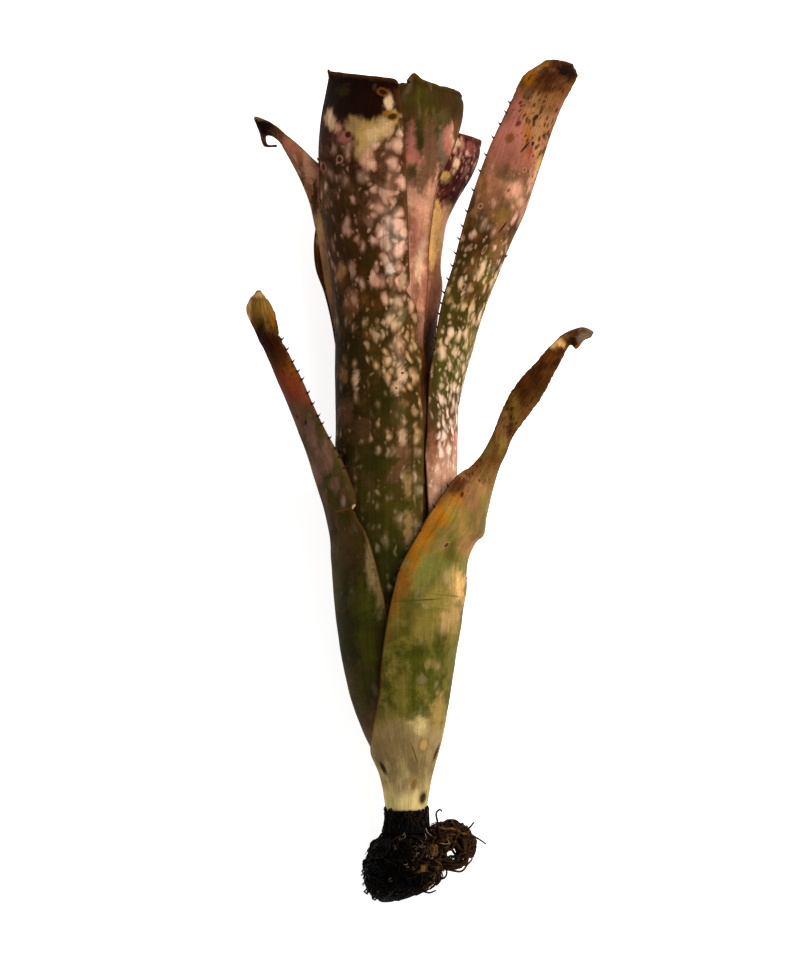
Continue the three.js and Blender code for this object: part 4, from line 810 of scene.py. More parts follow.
def leaf_grid(leaf, spacing, seed):
    """The outer and the inner face in millimetres with their unevenness, and the measures at each point.

    The unevenness runs along the normal: long waves of up to a third of a millimetre, fine ripples, and on
    dry tissue ridges along the leaf and crumples. Just below its tip a leaf turns outwards by its lip.
    """
    sections = leaf_sections(leaf)
    centre = LEAF_COLUMNS // 2
    place = np.linspace(0, 1, LEAF_COLUMNS)[None, :]
    _, length = leaf_surface(leaf, sections, np.array([0.0]), place)
    along = np.linspace(0, 1, int(length / spacing) + 1)
    place = np.repeat(place, len(along), axis=0)
    plain, _ = leaf_surface(leaf, sections, along, place)
    heights = {"left": plain[:, 0, 1], "right": plain[:, -1, 1]}
    middle = plain[:, centre]
    dry_edges = patches(leaf["dry"], middle[:, 0], middle[:, 1], seed + 5)
    place = nicked_places(leaf, place, heights, run_lengths(plain, 1)[:, -1], dry_edges, seed + 7)
    grid, _ = leaf_surface(leaf, sections, along, place)
    across = run_lengths(grid, 1)
    x = across - across[:, [centre]]
    y = np.repeat((along * length)[:, None], LEAF_COLUMNS, axis=1)
    dry = patches(leaf["dry"], grid[..., 0], grid[..., 1], seed + 5)
    to_tip = (1 - along)[:, None] * length
    to_edge = np.minimum(across, across[:, [-1]] - across)
    waves = (0.1 + 0.16 * smooth_step(90, 220, grid[..., 1])) * ripple(x * 1.6, y, 46, seed)
    ripples = 0.05 * ripple(x * 2, y, 11, seed + 1)
    ridges = 0.22 * ripple(x * 6, y * 0.5, 16, seed + 2)
    crumples = 0.45 * ripple(x, y, 9, seed + 3)
    rise = (waves + ripples + dry * (ridges + crumples)) * (0.35 + 0.65 * smooth_step(0, 6, to_edge))
    rise += leaf["lip"] * smooth_step(LIP_REACH, 0, to_tip) * (1 + 0.3 * ripple(x, 0 * x, 7, seed + 4))
    grid = grid + grid_normals(grid) * rise[..., None]
    grid[..., 2] = np.maximum(grid[..., 2], 0)
    sheath_top = leaf["sheath"][-1][0]
    sheath = sections[sections[:, HEIGHT] <= sheath_top]
    start, end = (
        np.interp(middle[:, 1], sheath[:, HEIGHT], sheath[:, column])[:, None] for column in (START, END))
    vein = VEIN_RADIUS * np.radians(start + (end - start) * place)
    vein -= vein[-1, centre]
    # Round the tube, the measure across is that of the veins too, so that no pattern slants
    on_blade = smooth_step(sheath_top, sheath_top + 30, middle[:, 1:2])
    x = vein + (x - vein) * on_blade
    measures = {"x": x, "y": y, "vein": vein, "edge": np.minimum(to_edge, to_tip), "dry": dry}
    thickness = leaf_thickness(grid[..., 1])
    thickness = thickness + (EDGE_THICKNESS - thickness) * np.abs(2 * place - 1) ** 4
    inner = grid - grid_normals(grid) * thickness[..., None]
    inner[..., 2] = np.maximum(inner[..., 2], 0.02)
    return grid, inner, measures


def patches(rows, x, h, seed):
    """Uneven ellipses (x, h, half width, half length, strength), the strongest at each point.

    Their bounds wander by waves of about twice, once and half their size.
    """
    total = np.zeros_like(x)
    for i, (at_x, at_h, half_width, half_length, strength) in enumerate(rows):
        distance = np.hypot((x - at_x) / half_width, (h - at_h) / half_length)
        size = min(half_width, half_length)
        for share, wave in ((0.3, 2.2), (0.24, 0.9), (0.14, 0.45)):
            distance = distance + share * ripple(x, h * 0.7, wave * size, seed + i)
        total = np.maximum(total, strength * smooth_step(1.45, 0.5, distance))
    return total


def painted_along(rows, h):
    """Cover and colour at each height, from rows of (h, cover, colour)."""
    at = [row[0] for row in rows]
    tints = np.array([palette_colour(row[2])[:3] for row in rows])
    cover = np.interp(h, at, [row[1] for row in rows])
    return cover, np.stack([np.interp(h, at, tint) for tint in tints.T], axis=-1)


def paint_leaf(leaf, x, h, seed):
    """Colours and covers at each point: ground, mottle and ovals.

    Each follows its list along h, with its bounds shifted by soft waves, and the washes are laid over
    the ground one after another, each an uneven ellipse. A wash that takes the ovals' colour reaches the
    ground by a third only. The leaf's lean paints shade on its left side and light on its right, in the
    ground and the ovals' colour, and makes its right side richer in ovals.
    """
    shifted = h + 3 * ripple(x, h * 0.5, 20, seed) + 1.2 * ripple(x, h * 0.6, 6, seed + 1)
    _, ground = painted_along([(row[0], 1, row[1]) for row in leaf["ground"]], shifted)
    mottled, mottle = painted_along(leaf["mottle"], shifted)
    cover, tint = painted_along(leaf["ovals"], shifted)
    low, high = x.min(axis=1, keepdims=True), x.max(axis=1, keepdims=True)
    side = leaf["lean"] * ((2 * x - low - high) / (high - low) + 0.3 * ripple(x, h * 0.5, 14, seed + 2))
    cover = np.clip(cover * (1 + side), 0, 1)
    # Painted shade on the left side and painted light on the right, in the ground and the ovals' colour
    ground *= 1 + 0.5 * side[..., None]
    tint *= 1 + 0.6 * side[..., None]
    for i, (at_x, at_h, half_width, half_length, colour, strength, *covers) in enumerate(leaf["washes"]):
        amount = patches([(at_x, at_h, half_width, half_length, strength)], x, h, seed + 20 + i)
        share = amount[..., None]
        wash = np.array(palette_colour(colour)[:3])
        washed_cover = covers[0] if covers else 0
        if washed_cover >= OVAL_WASH:
            tint += (wash - tint) * share
            share = share * 0.35
        ground += (wash - ground) * share
        cover += (washed_cover - cover) * amount
        mottled *= 1 - 0.85 * amount
    return {"ground": ground, "mottle_colour": mottle, "oval_colour": tint, "mottle": mottled, "ovals": cover}


def grid_faces(rows, columns, start=0, closed=False):
    """Quads of a grid whose points run along its rows, facing its rows' direction cross its columns'."""
    row = np.arange(rows - 1)[:, None]
    column = np.arange(columns if closed else columns - 1)[None, :]
    following = (column + 1) % columns
    corners = [row * columns + column, row * columns + following,
               (row + 1) * columns + following, (row + 1) * columns + column]
    return np.stack([start + corner for corner in corners], axis=-1).reshape(-1, 4)


def capped_faces(rows, sides, start=0):
    """Faces of a closed body whose rows are rings: the walls, and one face over the first and last ring."""
    ring = start + np.arange(sides)[None]
    return [grid_faces(rows, sides, start, closed=True), ring[:, ::-1], ring + (rows - 1) * sides]


def shell_faces(rows, columns):
    """Quads of a closed shell: the outer grid, the inner grid turned round, and the walls between."""
    outer = grid_faces(rows, columns)
    count = rows * columns
    index = np.arange(count).reshape(rows, columns)
    loop = np.concatenate([index[0, :], index[1:, -1], index[-1, -2::-1], index[-2:0:-1, 0]])
    following = np.roll(loop, -1)
    wall = np.stack([following, loop, loop + count, following + count], axis=-1)
    return np.concatenate([outer, outer[:, ::-1] + count, wall])


def full_turn(sides):
    """Directions evenly round a ring, as one row."""
    return np.linspace(0, 2 * np.pi, sides, endpoint=False)[None, :]


def drawing(random, count):
    """A function that draws a column of numbers between two bounds, one for each of count strands."""
    def column(low, high):
        return random.uniform(low, high, (count, 1))

    return column


def smooth_paths(control, steps):
    """Paths through control points (path, point, 3): a Catmull-Rom cubic between each two."""
    ends = 2 * control[:, [0, -1]] - control[:, [1, -2]]
    padded = np.concatenate([ends[:, :1], control, ends[:, 1:]], axis=1)
    t = np.linspace(0, control.shape[1] - 1, steps)
    i = np.minimum(t.astype(int), control.shape[1] - 2)
    f = (t - i)[None, :, None]
    a, b, c, d = (padded[:, i + step] for step in range(4))
    square, cube = 2 * a - 5 * b + 4 * c - d, 3 * b - a - 3 * c + d
    return 0.5 * (2 * b + (c - a) * f + square * f ** 2 + cube * f ** 3)


def tubes(paths, radii, sides):
    """Round strands along paths (path, point, 3): rings of the given radii, square to the path.

    Each ring's first direction is the last ring's, less its share along the path, so it doesn't twist.
    """
    count, steps, _ = paths.shape
    tangents = unit(np.gradient(paths, axis=1))
    side = np.cross(tangents[:, 0], np.where(np.abs(tangents[:, :1, 2]) < 0.8, [0, 0, 1.0], [1.0, 0, 0]))
    firsts = []
    for step in range(steps):
        tangent = tangents[:, step]
        side = unit(side - tangent * np.sum(side * tangent, axis=-1, keepdims=True))
        firsts.append(side)
    first = np.stack(firsts, axis=1)[:, :, None]
    second = np.cross(tangents, first[:, :, 0])[:, :, None]
    turn = (2 * np.pi * np.arange(sides) / sides)[None, None, :, None]
    offset = first * np.cos(turn) + second * np.sin(turn)
    points = paths[:, :, None] + offset * radii[:, :, None, None]
    one = grid_faces(steps, sides, closed=True)
    starts = np.arange(count)[:, None, None] * steps * sides
    quads = (one[None] + starts).reshape(-1, 4)
    near = np.arange(sides)[::-1][None] + starts[:, 0]
    far = (steps - 1) * sides + np.arange(sides)[None] + starts[:, 0]
    return points.reshape(-1, 3), [quads, near, far]


def thorn_tubes(leaf, grid, length, radius):
    """Thorns on the leaf's edges: cones that bend towards the tip, the bend growing with the way out."""
    paths, radii = [], []
    share = np.linspace(0, 1, 6)[:, None]
    for side, edge, neighbour in (("left", 0, 3), ("right", -1, -4)):
        line = grid[:, edge]
        for h in leaf["thorns"][side]:
            row = int(np.argmax(line[:, 1] >= h))
            row = min(max(row, 1), len(line) - 2)
            outwards = (line[row] - grid[row, neighbour]) * [1, 1, 0.3]
            outwards /= np.linalg.norm(outwards)
            tipwards = line[row + 1] - line[row - 1]
            tipwards /= np.linalg.norm(tipwards)
            reach = (length + 0.6) * share - 0.6
            paths.append(line[row] + outwards * reach * 0.86 + tipwards * (0.25 + 0.75 * share) * reach * 0.8)
            radii.append(radius * (1.15 - 1.12 * share[:, 0]))
    if not paths:
        return np.zeros((0, 3)), []
    return tubes(np.array(paths), np.array(radii), 7)


def new_object(name, data):
    """An object with the given data, linked into the scene."""
    made = bpy.data.objects.new(name, data)
    bpy.context.scene.collection.objects.link(made)
    return made


def new_piece(name, points, faces, materials, attributes=None, face_materials=None):
    """A mesh piece from points in plant millimetres and lists of faces, put into the frame in metres."""
    world = (np.asarray(points, float) + [0, FOOT_Y, 0]) * MM
    lists = [np.asarray(group) for group in faces if len(group)]
    lengths = np.concatenate([np.full(len(group), group.shape[1]) for group in lists])
    corners = np.concatenate([group.ravel() for group in lists])
    mesh = bpy.data.meshes.new(name)
    mesh.vertices.add(len(world))
    mesh.vertices.foreach_set("co", world.ravel().astype(np.float32))
    mesh.loops.add(len(corners))
    mesh.polygons.add(len(lengths))
    mesh.polygons.foreach_set("loop_start", (np.cumsum(lengths) - lengths).astype(np.int32))
    mesh.polygons.foreach_set("vertices", corners.astype(np.int32))
    mesh.update(calc_edges=True)
    if mesh.validate(verbose=False):
        raise RuntimeError(f"{name} has faces that are not sound")
    mesh.polygons.foreach_set("use_smooth", np.ones(len(lengths), bool))
    for material in materials:
        mesh.materials.append(material)
    if face_materials is not None:
        mesh.polygons.foreach_set("material_index", face_materials.astype(np.int32))
    for key, values in (attributes or {}).items():
        values = np.asarray(values, np.float32)
        if values.ndim == 1:
            mesh.attributes.new(key, "FLOAT", "POINT").data.foreach_set("value", values)
        elif values.shape[1] == 3:
            mesh.attributes.new(key, "FLOAT_VECTOR", "POINT").data.foreach_set("vector", values.ravel())
        else:
            mesh.attributes.new(key, "FLOAT_COLOR", "POINT").data.foreach_set("color", values.ravel())
    return new_object(name, mesh)


def add_node(tree, kind, inputs=None, out=0, **settings):
    """Adds one shader node with its own settings, gives each input a value or a link, and returns one of
    its outputs, or the node itself where out is None.

    Inputs are given by name or number. Map Range's 1 to 4 are the bounds that it reads and the bounds that
    it gives, Mix's are the share (0) and two colours (6 and 7) or numbers (2 and 3), and Math's its values.
    """
    node = tree.nodes.new("ShaderNode" + kind)
    for key, value in settings.items():
        setattr(node, key, value)
    for key, value in (inputs or {}).items():
        if isinstance(value, bpy.types.NodeSocket):
            tree.links.new(value, node.inputs[key])
        else:
            node.inputs[key].default_value = value
    return node if out is None else node.outputs[out]


def new_finish(name, roughness, specular):
    """A new material, its shader, its links, and add_node for its own tree."""
    material = bpy.data.materials.new(name)
    material.use_nodes = True
    tree = material.node_tree
    tree.nodes.clear()
    surface = {"Roughness": roughness, "Specular IOR Level": specular, "IOR": 1.45}
    shader = add_node(tree, "BsdfPrincipled", surface, out=None)
    add_node(tree, "OutputMaterial", {"Surface": shader.outputs[0]}, out=None)
    return material, shader, tree.links, partial(add_node, tree)


def drawn_out(add, place, width, length, detail, roughness=0.6):
    """Cloudy noise whose grains are width millimetres across the leaf and length along it."""
    scaled = add("VectorMath", {0: place, 1: (1 / width, 1 / length, 0)}, operation="MULTIPLY")
    return add("TexNoise", {"Vector": scaled, "Scale": 1.0, "Detail": detail, "Roughness": roughness})


def oval_marks(add, flat, cover, rough, width, length, fullness):
    """Soft ovals of paler tissue round the hearts of cells of the given size, roughened at their bounds.

    Gives the marks, faint where they only just pass the cover and full well beyond it, how near each
    point is to its oval's heart, and a number from 0 to 1 for each cell.
    """
    cell = add("VectorMath", {0: flat, 1: (1 / width, 1 / length, 0)}, operation="MULTIPLY")
    centres = add("TexVoronoi", {
        "Vector": cell, "Scale": 1.0, "Randomness": 0.85,
    }, out=None, voronoi_dimensions="2D")
    chance = add("SeparateColor", {"Color": centres.outputs["Color"]}, out=None).outputs
    wanted = add("Math", {0: cover, 1: fullness}, operation="MULTIPLY")
    spare = add("Math", {0: wanted, 1: chance[0]}, operation="SUBTRACT")
    present = add("MapRange", {"Value": spare, 1: -0.02, 2: 0.3})
    reach = add("Math", {0: chance[1], 1: 0.19, 2: 0.11}, operation="MULTIPLY_ADD")
    ragged = add("Math", {0: rough, 1: 0.14, 2: reach}, operation="MULTIPLY_ADD")
    inside = add("Math", {0: ragged, 1: centres.outputs["Distance"]}, operation="SUBTRACT")
    body = add("MapRange", {"Value": inside, 1: -0.16, 2: 0.2}, **SOFT_BOUNDS)
    marks = add("Math", {0: body, 1: present}, operation="MULTIPLY")
    heart = add("MapRange", {"Value": inside, 1: 0.0, 2: 0.28}, **SOFT_BOUNDS)
    return marks, heart, chance[2]


def leaf_skin(name, leaf, scar_places):
    """Bromeliad leaf: leathery skin with cloudy patches, paler ovals, lengthwise veins and a waxy bloom."""
    # Waxed leathery skin: a broad soft gloss, broken by fine lengthwise ribs that catch the light
    material, shader, links, add = new_finish(name, 0.65, 0.02)
    measure = add("Attribute", out="Vector", attribute_name="leaf_mm")
    parts = add("SeparateXYZ", {0: measure}, out=None).outputs
    flat = add("CombineXYZ", {0: parts[0], 1: parts[1]})
    veined = add("CombineXYZ", {0: parts[2], 1: parts[1]})
    ground, mottle_colour, oval_colour = (
        add("Attribute", out="Color", attribute_name=key)
        for key in ("ground", "mottle_colour", "oval_colour"))
    mottled, cover, flecked, dry, edge = (
        add("Attribute", out="Fac", attribute_name=key)
        for key in ("mottle", "ovals", "flecks", "dry", "edge_mm"))

    # Clouds of 9 by 14 mm, streaks 1.2 mm wide along the leaf and a grain of 0.7 mm
    clouds = drawn_out(add, flat, 9, 14, 3.0)
    streaks = drawn_out(add, veined, 1.2, 36, 4.0, 0.65)
    grain = drawn_out(add, flat, 0.7, 0.8, 3.0, 0.7)
    cloud_light, streak_light, grain_light = (
        add("MapRange", {"Value": noise, 1: 0.3, 2: 0.7, 3: dark, 4: bright})
        for noise, dark, bright in ((clouds, 0.72, 1.28), (streaks, 0.8, 1.2), (grain, 0.84, 1.16)))
    fine_light = add("Math", {0: streak_light, 1: grain_light}, operation="MULTIPLY")
    light = add("Math", {0: cloud_light, 1: fine_light}, operation="MULTIPLY")

    # Patches of the second colour, about 7 by 10 mm, wherever their noise passes the cover's bound
    patchy = drawn_out(add, flat, 7, 10, 6.0, 0.62)
    bound = add("Math", {0: mottled, 1: -0.36, 2: 0.66}, operation="MULTIPLY_ADD")
    beyond = add("Math", {0: patchy, 1: bound}, operation="SUBTRACT")
    patch = add("MapRange", {"Value": beyond, 1: -0.1, 2: 0.16, 4: 0.8}, **SOFT_BOUNDS)
    colour = add("Mix", {0: patch, 6: ground, 7: mottle_colour}, **COLOUR_MIX)
    colour = add("VectorMath", {0: colour, "Scale": light}, operation="SCALE")

    # The ovals wander by about a millimetre, so that no two have one outline
    wander_place = add("VectorMath", {0: flat, "Scale": 0.17}, operation="SCALE")
    wander = add("TexNoise", {"Vector": wander_place, "Scale": 1.0, "Detail": 1.0}, out="Color")
    shift = add("VectorMath", {0: wander, 1: (3.0, 4.5, 0), 2: flat}, operation="MULTIPLY_ADD")
    wide, long = leaf["oval"]
    for scale, fullness, strength in OVAL_SIZES:
        marks, heart, chance = oval_marks(add, shift, cover, streaks, wide * scale, long * scale, fullness)
        own = add("MapRange", {"Value": chance, 3: 0.5, 4: 1.1})
        lit = add("Math", {0: own, 1: fine_light}, operation="MULTIPLY")
        plain = add("VectorMath", {0: oval_colour, "Scale": lit}, operation="SCALE")
        pale = add("Math", {0: heart, 1: 0.35 * strength}, operation="MULTIPLY")
        filled = add("Mix", {0: pale, 6: plain, 7: palette_colour("pale_pink")}, **COLOUR_MIX)
        soft = add("Math", {0: marks, 1: strength}, operation="MULTIPLY")
        colour = add("Mix", {0: soft, 6: colour, 7: filled}, **COLOUR_MIX)

    # Dead tissue: dark and pale lines of about a millimetre along the leaf
    lines = drawn_out(add, veined, 0.9, 11, 5.0, 0.7)
    line_light = add("MapRange", {"Value": lines, 1: 0.34, 2: 0.66, 3: 0.45, 4: 1.5})
    parched = add("VectorMath", {0: colour, "Scale": line_light}, operation="SCALE")
    colour = add("Mix", {0: dry, 6: colour, 7: parched}, **COLOUR_MIX)

    # Dark flecks of 1 to 2 mm where the tissue starts to die
    fleck_place = add("VectorMath", {0: shift, 1: (1 / 1.7, 1 / 3.4, 0)}, operation="MULTIPLY")
    fleck = add("TexVoronoi", {"Vector": fleck_place, "Scale": 1.0}, out=None, voronoi_dimensions="2D")
    fleck_chance = add("SeparateColor", {"Color": fleck.outputs["Color"]})
    reach = add("Math", {0: fleck_chance, 1: flecked}, operation="MULTIPLY")
    reach = add("Math", {0: reach, 1: 0.62, 2: -0.04}, operation="MULTIPLY_ADD")
    inside = add("Math", {0: reach, 1: fleck.outputs["Distance"]}, operation="SUBTRACT")
    fleck_mark = add("MapRange", {"Value": inside, 1: -0.16, 2: 0.18, 4: 0.85})
    colour = add("Mix", {0: fleck_mark, 6: colour, 7: palette_colour("chestnut")}, **COLOUR_MIX)

    # The margin's horny line, half a millimetre wide, with a browned strip of up to 2 mm inside it
    near = add("Math", {0: grain, 1: 0.5, 2: edge}, operation="MULTIPLY_ADD")
    browned = add("MapRange", {"Value": near, 1: 2.2, 2: 0.6, 4: 0.35})
    colour = add("Mix", {0: browned, 6: colour, 7: palette_colour("bark_brown")}, **COLOUR_MIX)
    horny = add("MapRange", {"Value": near, 1: 0.8, 2: 0.5, 4: 0.7})
    colour = add("Mix", {0: horny, 6: colour, 7: palette_colour("umber")}, **COLOUR_MIX)

    # Single scars, each an ellipse of its own colour, some with a ring
    for (_, _, half_width, half_length, turn, heart, *rings), (at_x, at_y) in zip(leaf["scars"], scar_places):
        inside = add("Mapping", {
            "Vector": flat, "Location": (at_x, at_y, 0), "Rotation": (0, 0, math.radians(turn)),
            "Scale": (half_width, half_length, 1),
        }, vector_type="TEXTURE")
        distance = add("VectorMath", {0: inside}, out="Value", operation="LENGTH")
        ragged = add("Math", {0: grain, 1: 1.1, 2: distance}, operation="MULTIPLY_ADD")
        for ring in rings:
            halo = add("MapRange", {"Value": ragged, 1: 2.5, 2: 1.8, 4: 0.55})
            colour = add("Mix", {0: halo, 6: colour, 7: palette_colour(ring)}, **COLOUR_MIX)
        mark = add("MapRange", {"Value": ragged, 1: 1.9, 2: 1.3, 4: 0.9})
        colour = add("Mix", {0: mark, 6: colour, 7: palette_colour(heart)}, **COLOUR_MIX)
    links.new(colour, shader.inputs["Base Color"])

    # Living skin is glossier than dead skin, and the gloss breaks up over the veins
    gloss = add("MapRange", {"Value": streaks, 1: 0.3, 2: 0.7, 3: 0.58, 4: 0.72})
    rough = add("Mix", {0: dry, 2: gloss, 3: 0.76}, data_type="FLOAT")
    links.new(rough, shader.inputs["Roughness"])
    # Ribs under a millimetre apart on soft dents, and deeper lines where the tissue has dried
    ribs = drawn_out(add, veined, 0.8, 60, 2.0)
    dry_lines = add("Math", {0: lines, 1: dry}, operation="MULTIPLY")
    relief = add("Math", {0: dry_lines, 1: 2.4, 2: ribs}, operation="MULTIPLY_ADD")
    relief = add("Math", {0: grain, 1: 0.4, 2: relief}, operation="MULTIPLY_ADD")
    relief = add("Math", {0: patchy, 1: 2.6, 2: relief}, operation="MULTIPLY_ADD")
    bump = add("Bump", {"Height": relief, "Strength": 0.6, "Distance": 0.0003})
    links.new(bump, shader.inputs["Normal"])
    return material


def strand_finish(name, roughness, grain_mm):
    """Dried plant fibre: each strand has its own colour, broken up along it by fine darker scales."""
    # Dead and papery, with a dull gloss: the strands show by their edges and shadows
    material, shader, links, add = new_finish(name, roughness, 0.03)
    own = add("Attribute", out="Color", attribute_name="strand_colour")
    place = add("TexCoord", out="Object")
    scales = add("TexNoise", {
        "Vector": place, "Scale": 1 / (grain_mm * MM), "Detail": 4.0, "Roughness": 0.7,
    })
    light = add("MapRange", {"Value": scales, 1: 0.3, 2: 0.7, 3: 0.35, 4: 1.7})
    colour = add("VectorMath", {0: own, "Scale": light}, operation="SCALE")
    links.new(colour, shader.inputs["Base Color"])
    bump = add("Bump", {"Height": scales, "Strength": 0.8, "Distance": 0.0004})
    links.new(bump, shader.inputs["Normal"])
    return material


def bark_finish():
    """Conifer bark: golden-brown cork plates with darker seams about 1.6 mm apart."""
    # Damp cork: nearly matt, with layers that show as fine parallel lines on the broken sides
    material, shader, links, add = new_finish("golden_brown_bark", 0.7, 0.1)
    place = add("TexCoord", out="Object")
    plates = add("TexWave", {
        "Vector": place, "Scale": 190.0, "Distortion": 7.0, "Detail": 3.0, "Detail Scale": 2.0,
    }, out="Fac", bands_direction="Z")
    crumbs = add("TexNoise", {"Vector": place, "Scale": 900.0, "Detail": 5.0, "Roughness": 0.7})
    mixed = add("Math", {0: plates, 1: 0.5, 2: crumbs}, operation="MULTIPLY_ADD")
    shade = add("MapRange", {"Value": mixed, 1: 0.45, 2: 1.0})
    tones = {0: shade, 6: to_linear("#140a03"), 7: to_linear("#664317")}
    colour = add("Mix", tones, **COLOUR_MIX)
    links.new(colour, shader.inputs["Base Color"])
    bump = add("Bump", {"Height": mixed, "Strength": 0.9, "Distance": 0.0006})
    links.new(bump, shader.inputs["Normal"])
    return material


def stem_finish():
    """Cut bromeliad stem: pale woody pith with brown leaf rings 3 mm apart."""
    # Fibrous wood: matt tan with darker rings where leaves were joined
    material, shader, links, add = new_finish("woody_stem", 0.8, 0.3)
    place = add("TexCoord", out="Object")
    rings = add("TexWave", {
        "Vector": place, "Scale": 105.0, "Distortion": 3.0, "Detail": 3.0,
    }, out="Fac", bands_direction="Y")
    fibres = add("TexNoise", {"Vector": place, "Scale": 1200.0, "Detail": 4.0})
    mixed = add("Math", {0: rings, 1: fibres}, operation="MULTIPLY")
    tones = {0: mixed, 6: to_linear("#9c7a4c"), 7: to_linear("#3c2410")}
    colour = add("Mix", tones, **COLOUR_MIX)
    links.new(colour, shader.inputs["Base Color"])
    bump = add("Bump", {"Height": mixed, "Strength": 0.6, "Distance": 0.0004})
    links.new(bump, shader.inputs["Normal"])
    return material


def thorn_finish():
    """Thorn: hard dark brown horn with a fine grain."""
    # Horn: smoother and glossier than the leaf, so that a thorn's tip catches a small light
    material, shader, links, add = new_finish("thorn_horn", 0.45, 0.12)
    place = add("TexCoord", out="Object")
    grain = add("TexNoise", {"Vector": place, "Scale": 1500.0, "Detail": 2.0})
    tones = {0: grain, 6: to_linear("#120603"), 7: to_linear("#3a1a0c")}
    colour = add("Mix", tones, **COLOUR_MIX)
    links.new(colour, shader.inputs["Base Color"])
    return material


def floor_finish(colour, glow):
    """Photographer's light table: an even matt white sheet with a faint tooth, lit a little from below."""
    # Matt opal sheet: takes a soft shadow, which its own glow thins, and gives nothing back as gloss
    material, shader, links, add = new_finish("opal_light_table", 0.9, 0.2)
    place = add("TexCoord", out="Object")
    tooth = add("TexNoise", {"Vector": place, "Scale": 1400.0, "Detail": 2.0})
    tint = add("MapRange", {"Value": tooth, 3: 0.985, 4: 1.0})
    shade = add("VectorMath", {0: tuple(colour[:3]), "Scale": tint}, operation="SCALE")
    links.new(shade, shader.inputs["Base Color"])
    shader.inputs["Emission Color"].default_value = colour
    shader.inputs["Emission Strength"].default_value = glow
    return material


def place_on_leaf(grid, measures, x, h):
    """The leaf's own millimetres at a point seen from above: the mean of the top face's nearest points."""
    distance = np.hypot(grid[..., 0] - x, grid[..., 1] - h)
    near = distance < max(1.6, distance.min() + 0.4)
    top = grid[..., 2] > grid[..., 2][near].max() - 2.5
    weight = np.exp(-(distance / 0.5) ** 2) * (near & top) + 1e-12 * (near & top)
    weight /= weight.sum()
    return float((measures["x"] * weight).sum()), float((measures["y"] * weight).sum())


def build_leaf(name, settings, seed):
    """One leaf as a closed shell with its thorns, its colours painted on its points."""
    leaf = {**PLAIN_LEAF, **LEAVES[name], **PAINT[name]}
    grid, inner, measures = leaf_grid(leaf, settings.spacing / MM, seed)
    rows, columns, _ = grid.shape
    x, h = grid[..., 0], grid[..., 1]
    scar_places = [place_on_leaf(grid, measures, scar[0], scar[1]) for scar in leaf["scars"]]
    thorns, thorn_faces = thorn_tubes(leaf, grid, settings.thorn_length / MM, settings.thorn_radius / MM)
    shell = shell_faces(rows, columns)
    points = np.concatenate([grid.reshape(-1, 3), inner.reshape(-1, 3), thorns])
    faces = [shell, *(group + 2 * rows * columns for group in thorn_faces)]
    parts = np.concatenate([np.zeros(len(shell))] + [np.ones(len(group)) for group in thorn_faces])
    painted = paint_leaf(leaf, x, h, seed + 50)
    painted["flecks"] = patches(leaf["flecks"], x, h, seed + 70)
    painted["dry"] = measures["dry"]
    painted["edge_mm"] = measures["edge"]
    painted["leaf_mm"] = np.stack([measures["x"], measures["y"], measures["vein"]], axis=-1)
    attributes = {}
    for key, values in painted.items():
        values = values.reshape(rows * columns, -1)
        if values.shape[1] == 3 and key != "leaf_mm":
            values = np.concatenate([values, np.ones((len(values), 1))], axis=1)
        rest = np.zeros((len(thorns), values.shape[1]))
        attributes[key] = np.concatenate([values, values, rest]).squeeze()
    skin = leaf_skin(f"{name}_skin", leaf, scar_places)
    piece = new_piece(f"{name}_grown", points, faces, [skin, thorn_finish()], attributes, parts)
    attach(piece, "root")
    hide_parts(name)


core_x = curve_through([(row[0], row[1]) for row in ROOT_CORE])
core_z = curve_through([(row[0], row[2]) for row in ROOT_CORE])
core_width = curve_through([(row[0], row[3]) for row in ROOT_CORE])
core_depth = curve_through([(row[0], row[4]) for row in ROOT_CORE])


def core_points(h, turn, rise):
    """Points round the root ball's core: half width times the sine of the turn, half depth times cosine."""
    x = core_x(h) + (core_width(h) + rise) * np.sin(turn)
    z = core_z(h) + (core_depth(h) + rise) * np.cos(turn)
    return np.stack([x, np.broadcast_to(h, x.shape), z], axis=-1)


def core_surface(random):
    """The ball's dense middle: the core's ovals along h, lumped by soft waves, closed at both ends."""
    rows, sides = 70, 110
    h = np.linspace(ROOT_CORE[0][0], ROOT_CORE[-1][0], rows)[:, None]
    turn = full_turn(sides)
    points = core_points(h, turn, 0)
    x, z = points[..., 0], points[..., 2]
    rise = 0.8 * ripple(x + 0.4 * h, z + 0.8 * h, 9, SEED) + 0.45 * ripple(x - 0.5 * h, z + h, 4, SEED + 1)
    points = core_points(h, turn, rise + 0.3 * random.uniform(-1, 1, (rows, sides)) - 0.8)
    points[..., 2] = np.maximum(points[..., 2], 0)
    return points.reshape(-1, 3), [group[:, ::-1] for group in capped_faces(rows, sides)]


def surface_roots(random, count):
    """Roots down the core: each sways round it, rises and falls by sines, and leaves it at its tip."""
    column = drawing(random, count)
    steps = 22
    t = np.linspace(0, 1, 10)[None, :]
    turn = 2 * np.pi * random.random((count, 1))
    start = column(-24, -9.8)
    length = column(4, 24) * np.where(start < -20, 0.6, 1)
    wave, pace = column(0, 2 * np.pi), column(5, 12)
    h = np.maximum(start - length * t + 0.9 * np.sin(pace * t + wave), ROOT_CORE[0][0] + 1)
    tips = column(0.1, 2.2) * smooth_step(0.6, 1, t)
    rise = -1.5 + 1.7 * smooth_step(0, 0.2, t) + column(0.2, 1.1) * np.sin(pace * 1.3 * t + 2 * wave) + tips
    bend = column(-1.3, 1.3) * t + column(0.04, 0.2) * np.sin(pace * t + 2 * wave)
    paths = smooth_paths(core_points(h, turn + bend, rise), steps)
    thick = column(0.22, 0.66) * (1 - 0.45 * np.linspace(0, 1, steps)[None, :])
    return paths, thick * (1 + 0.2 * np.sin(np.linspace(0, 44, steps)[None, :] + wave))


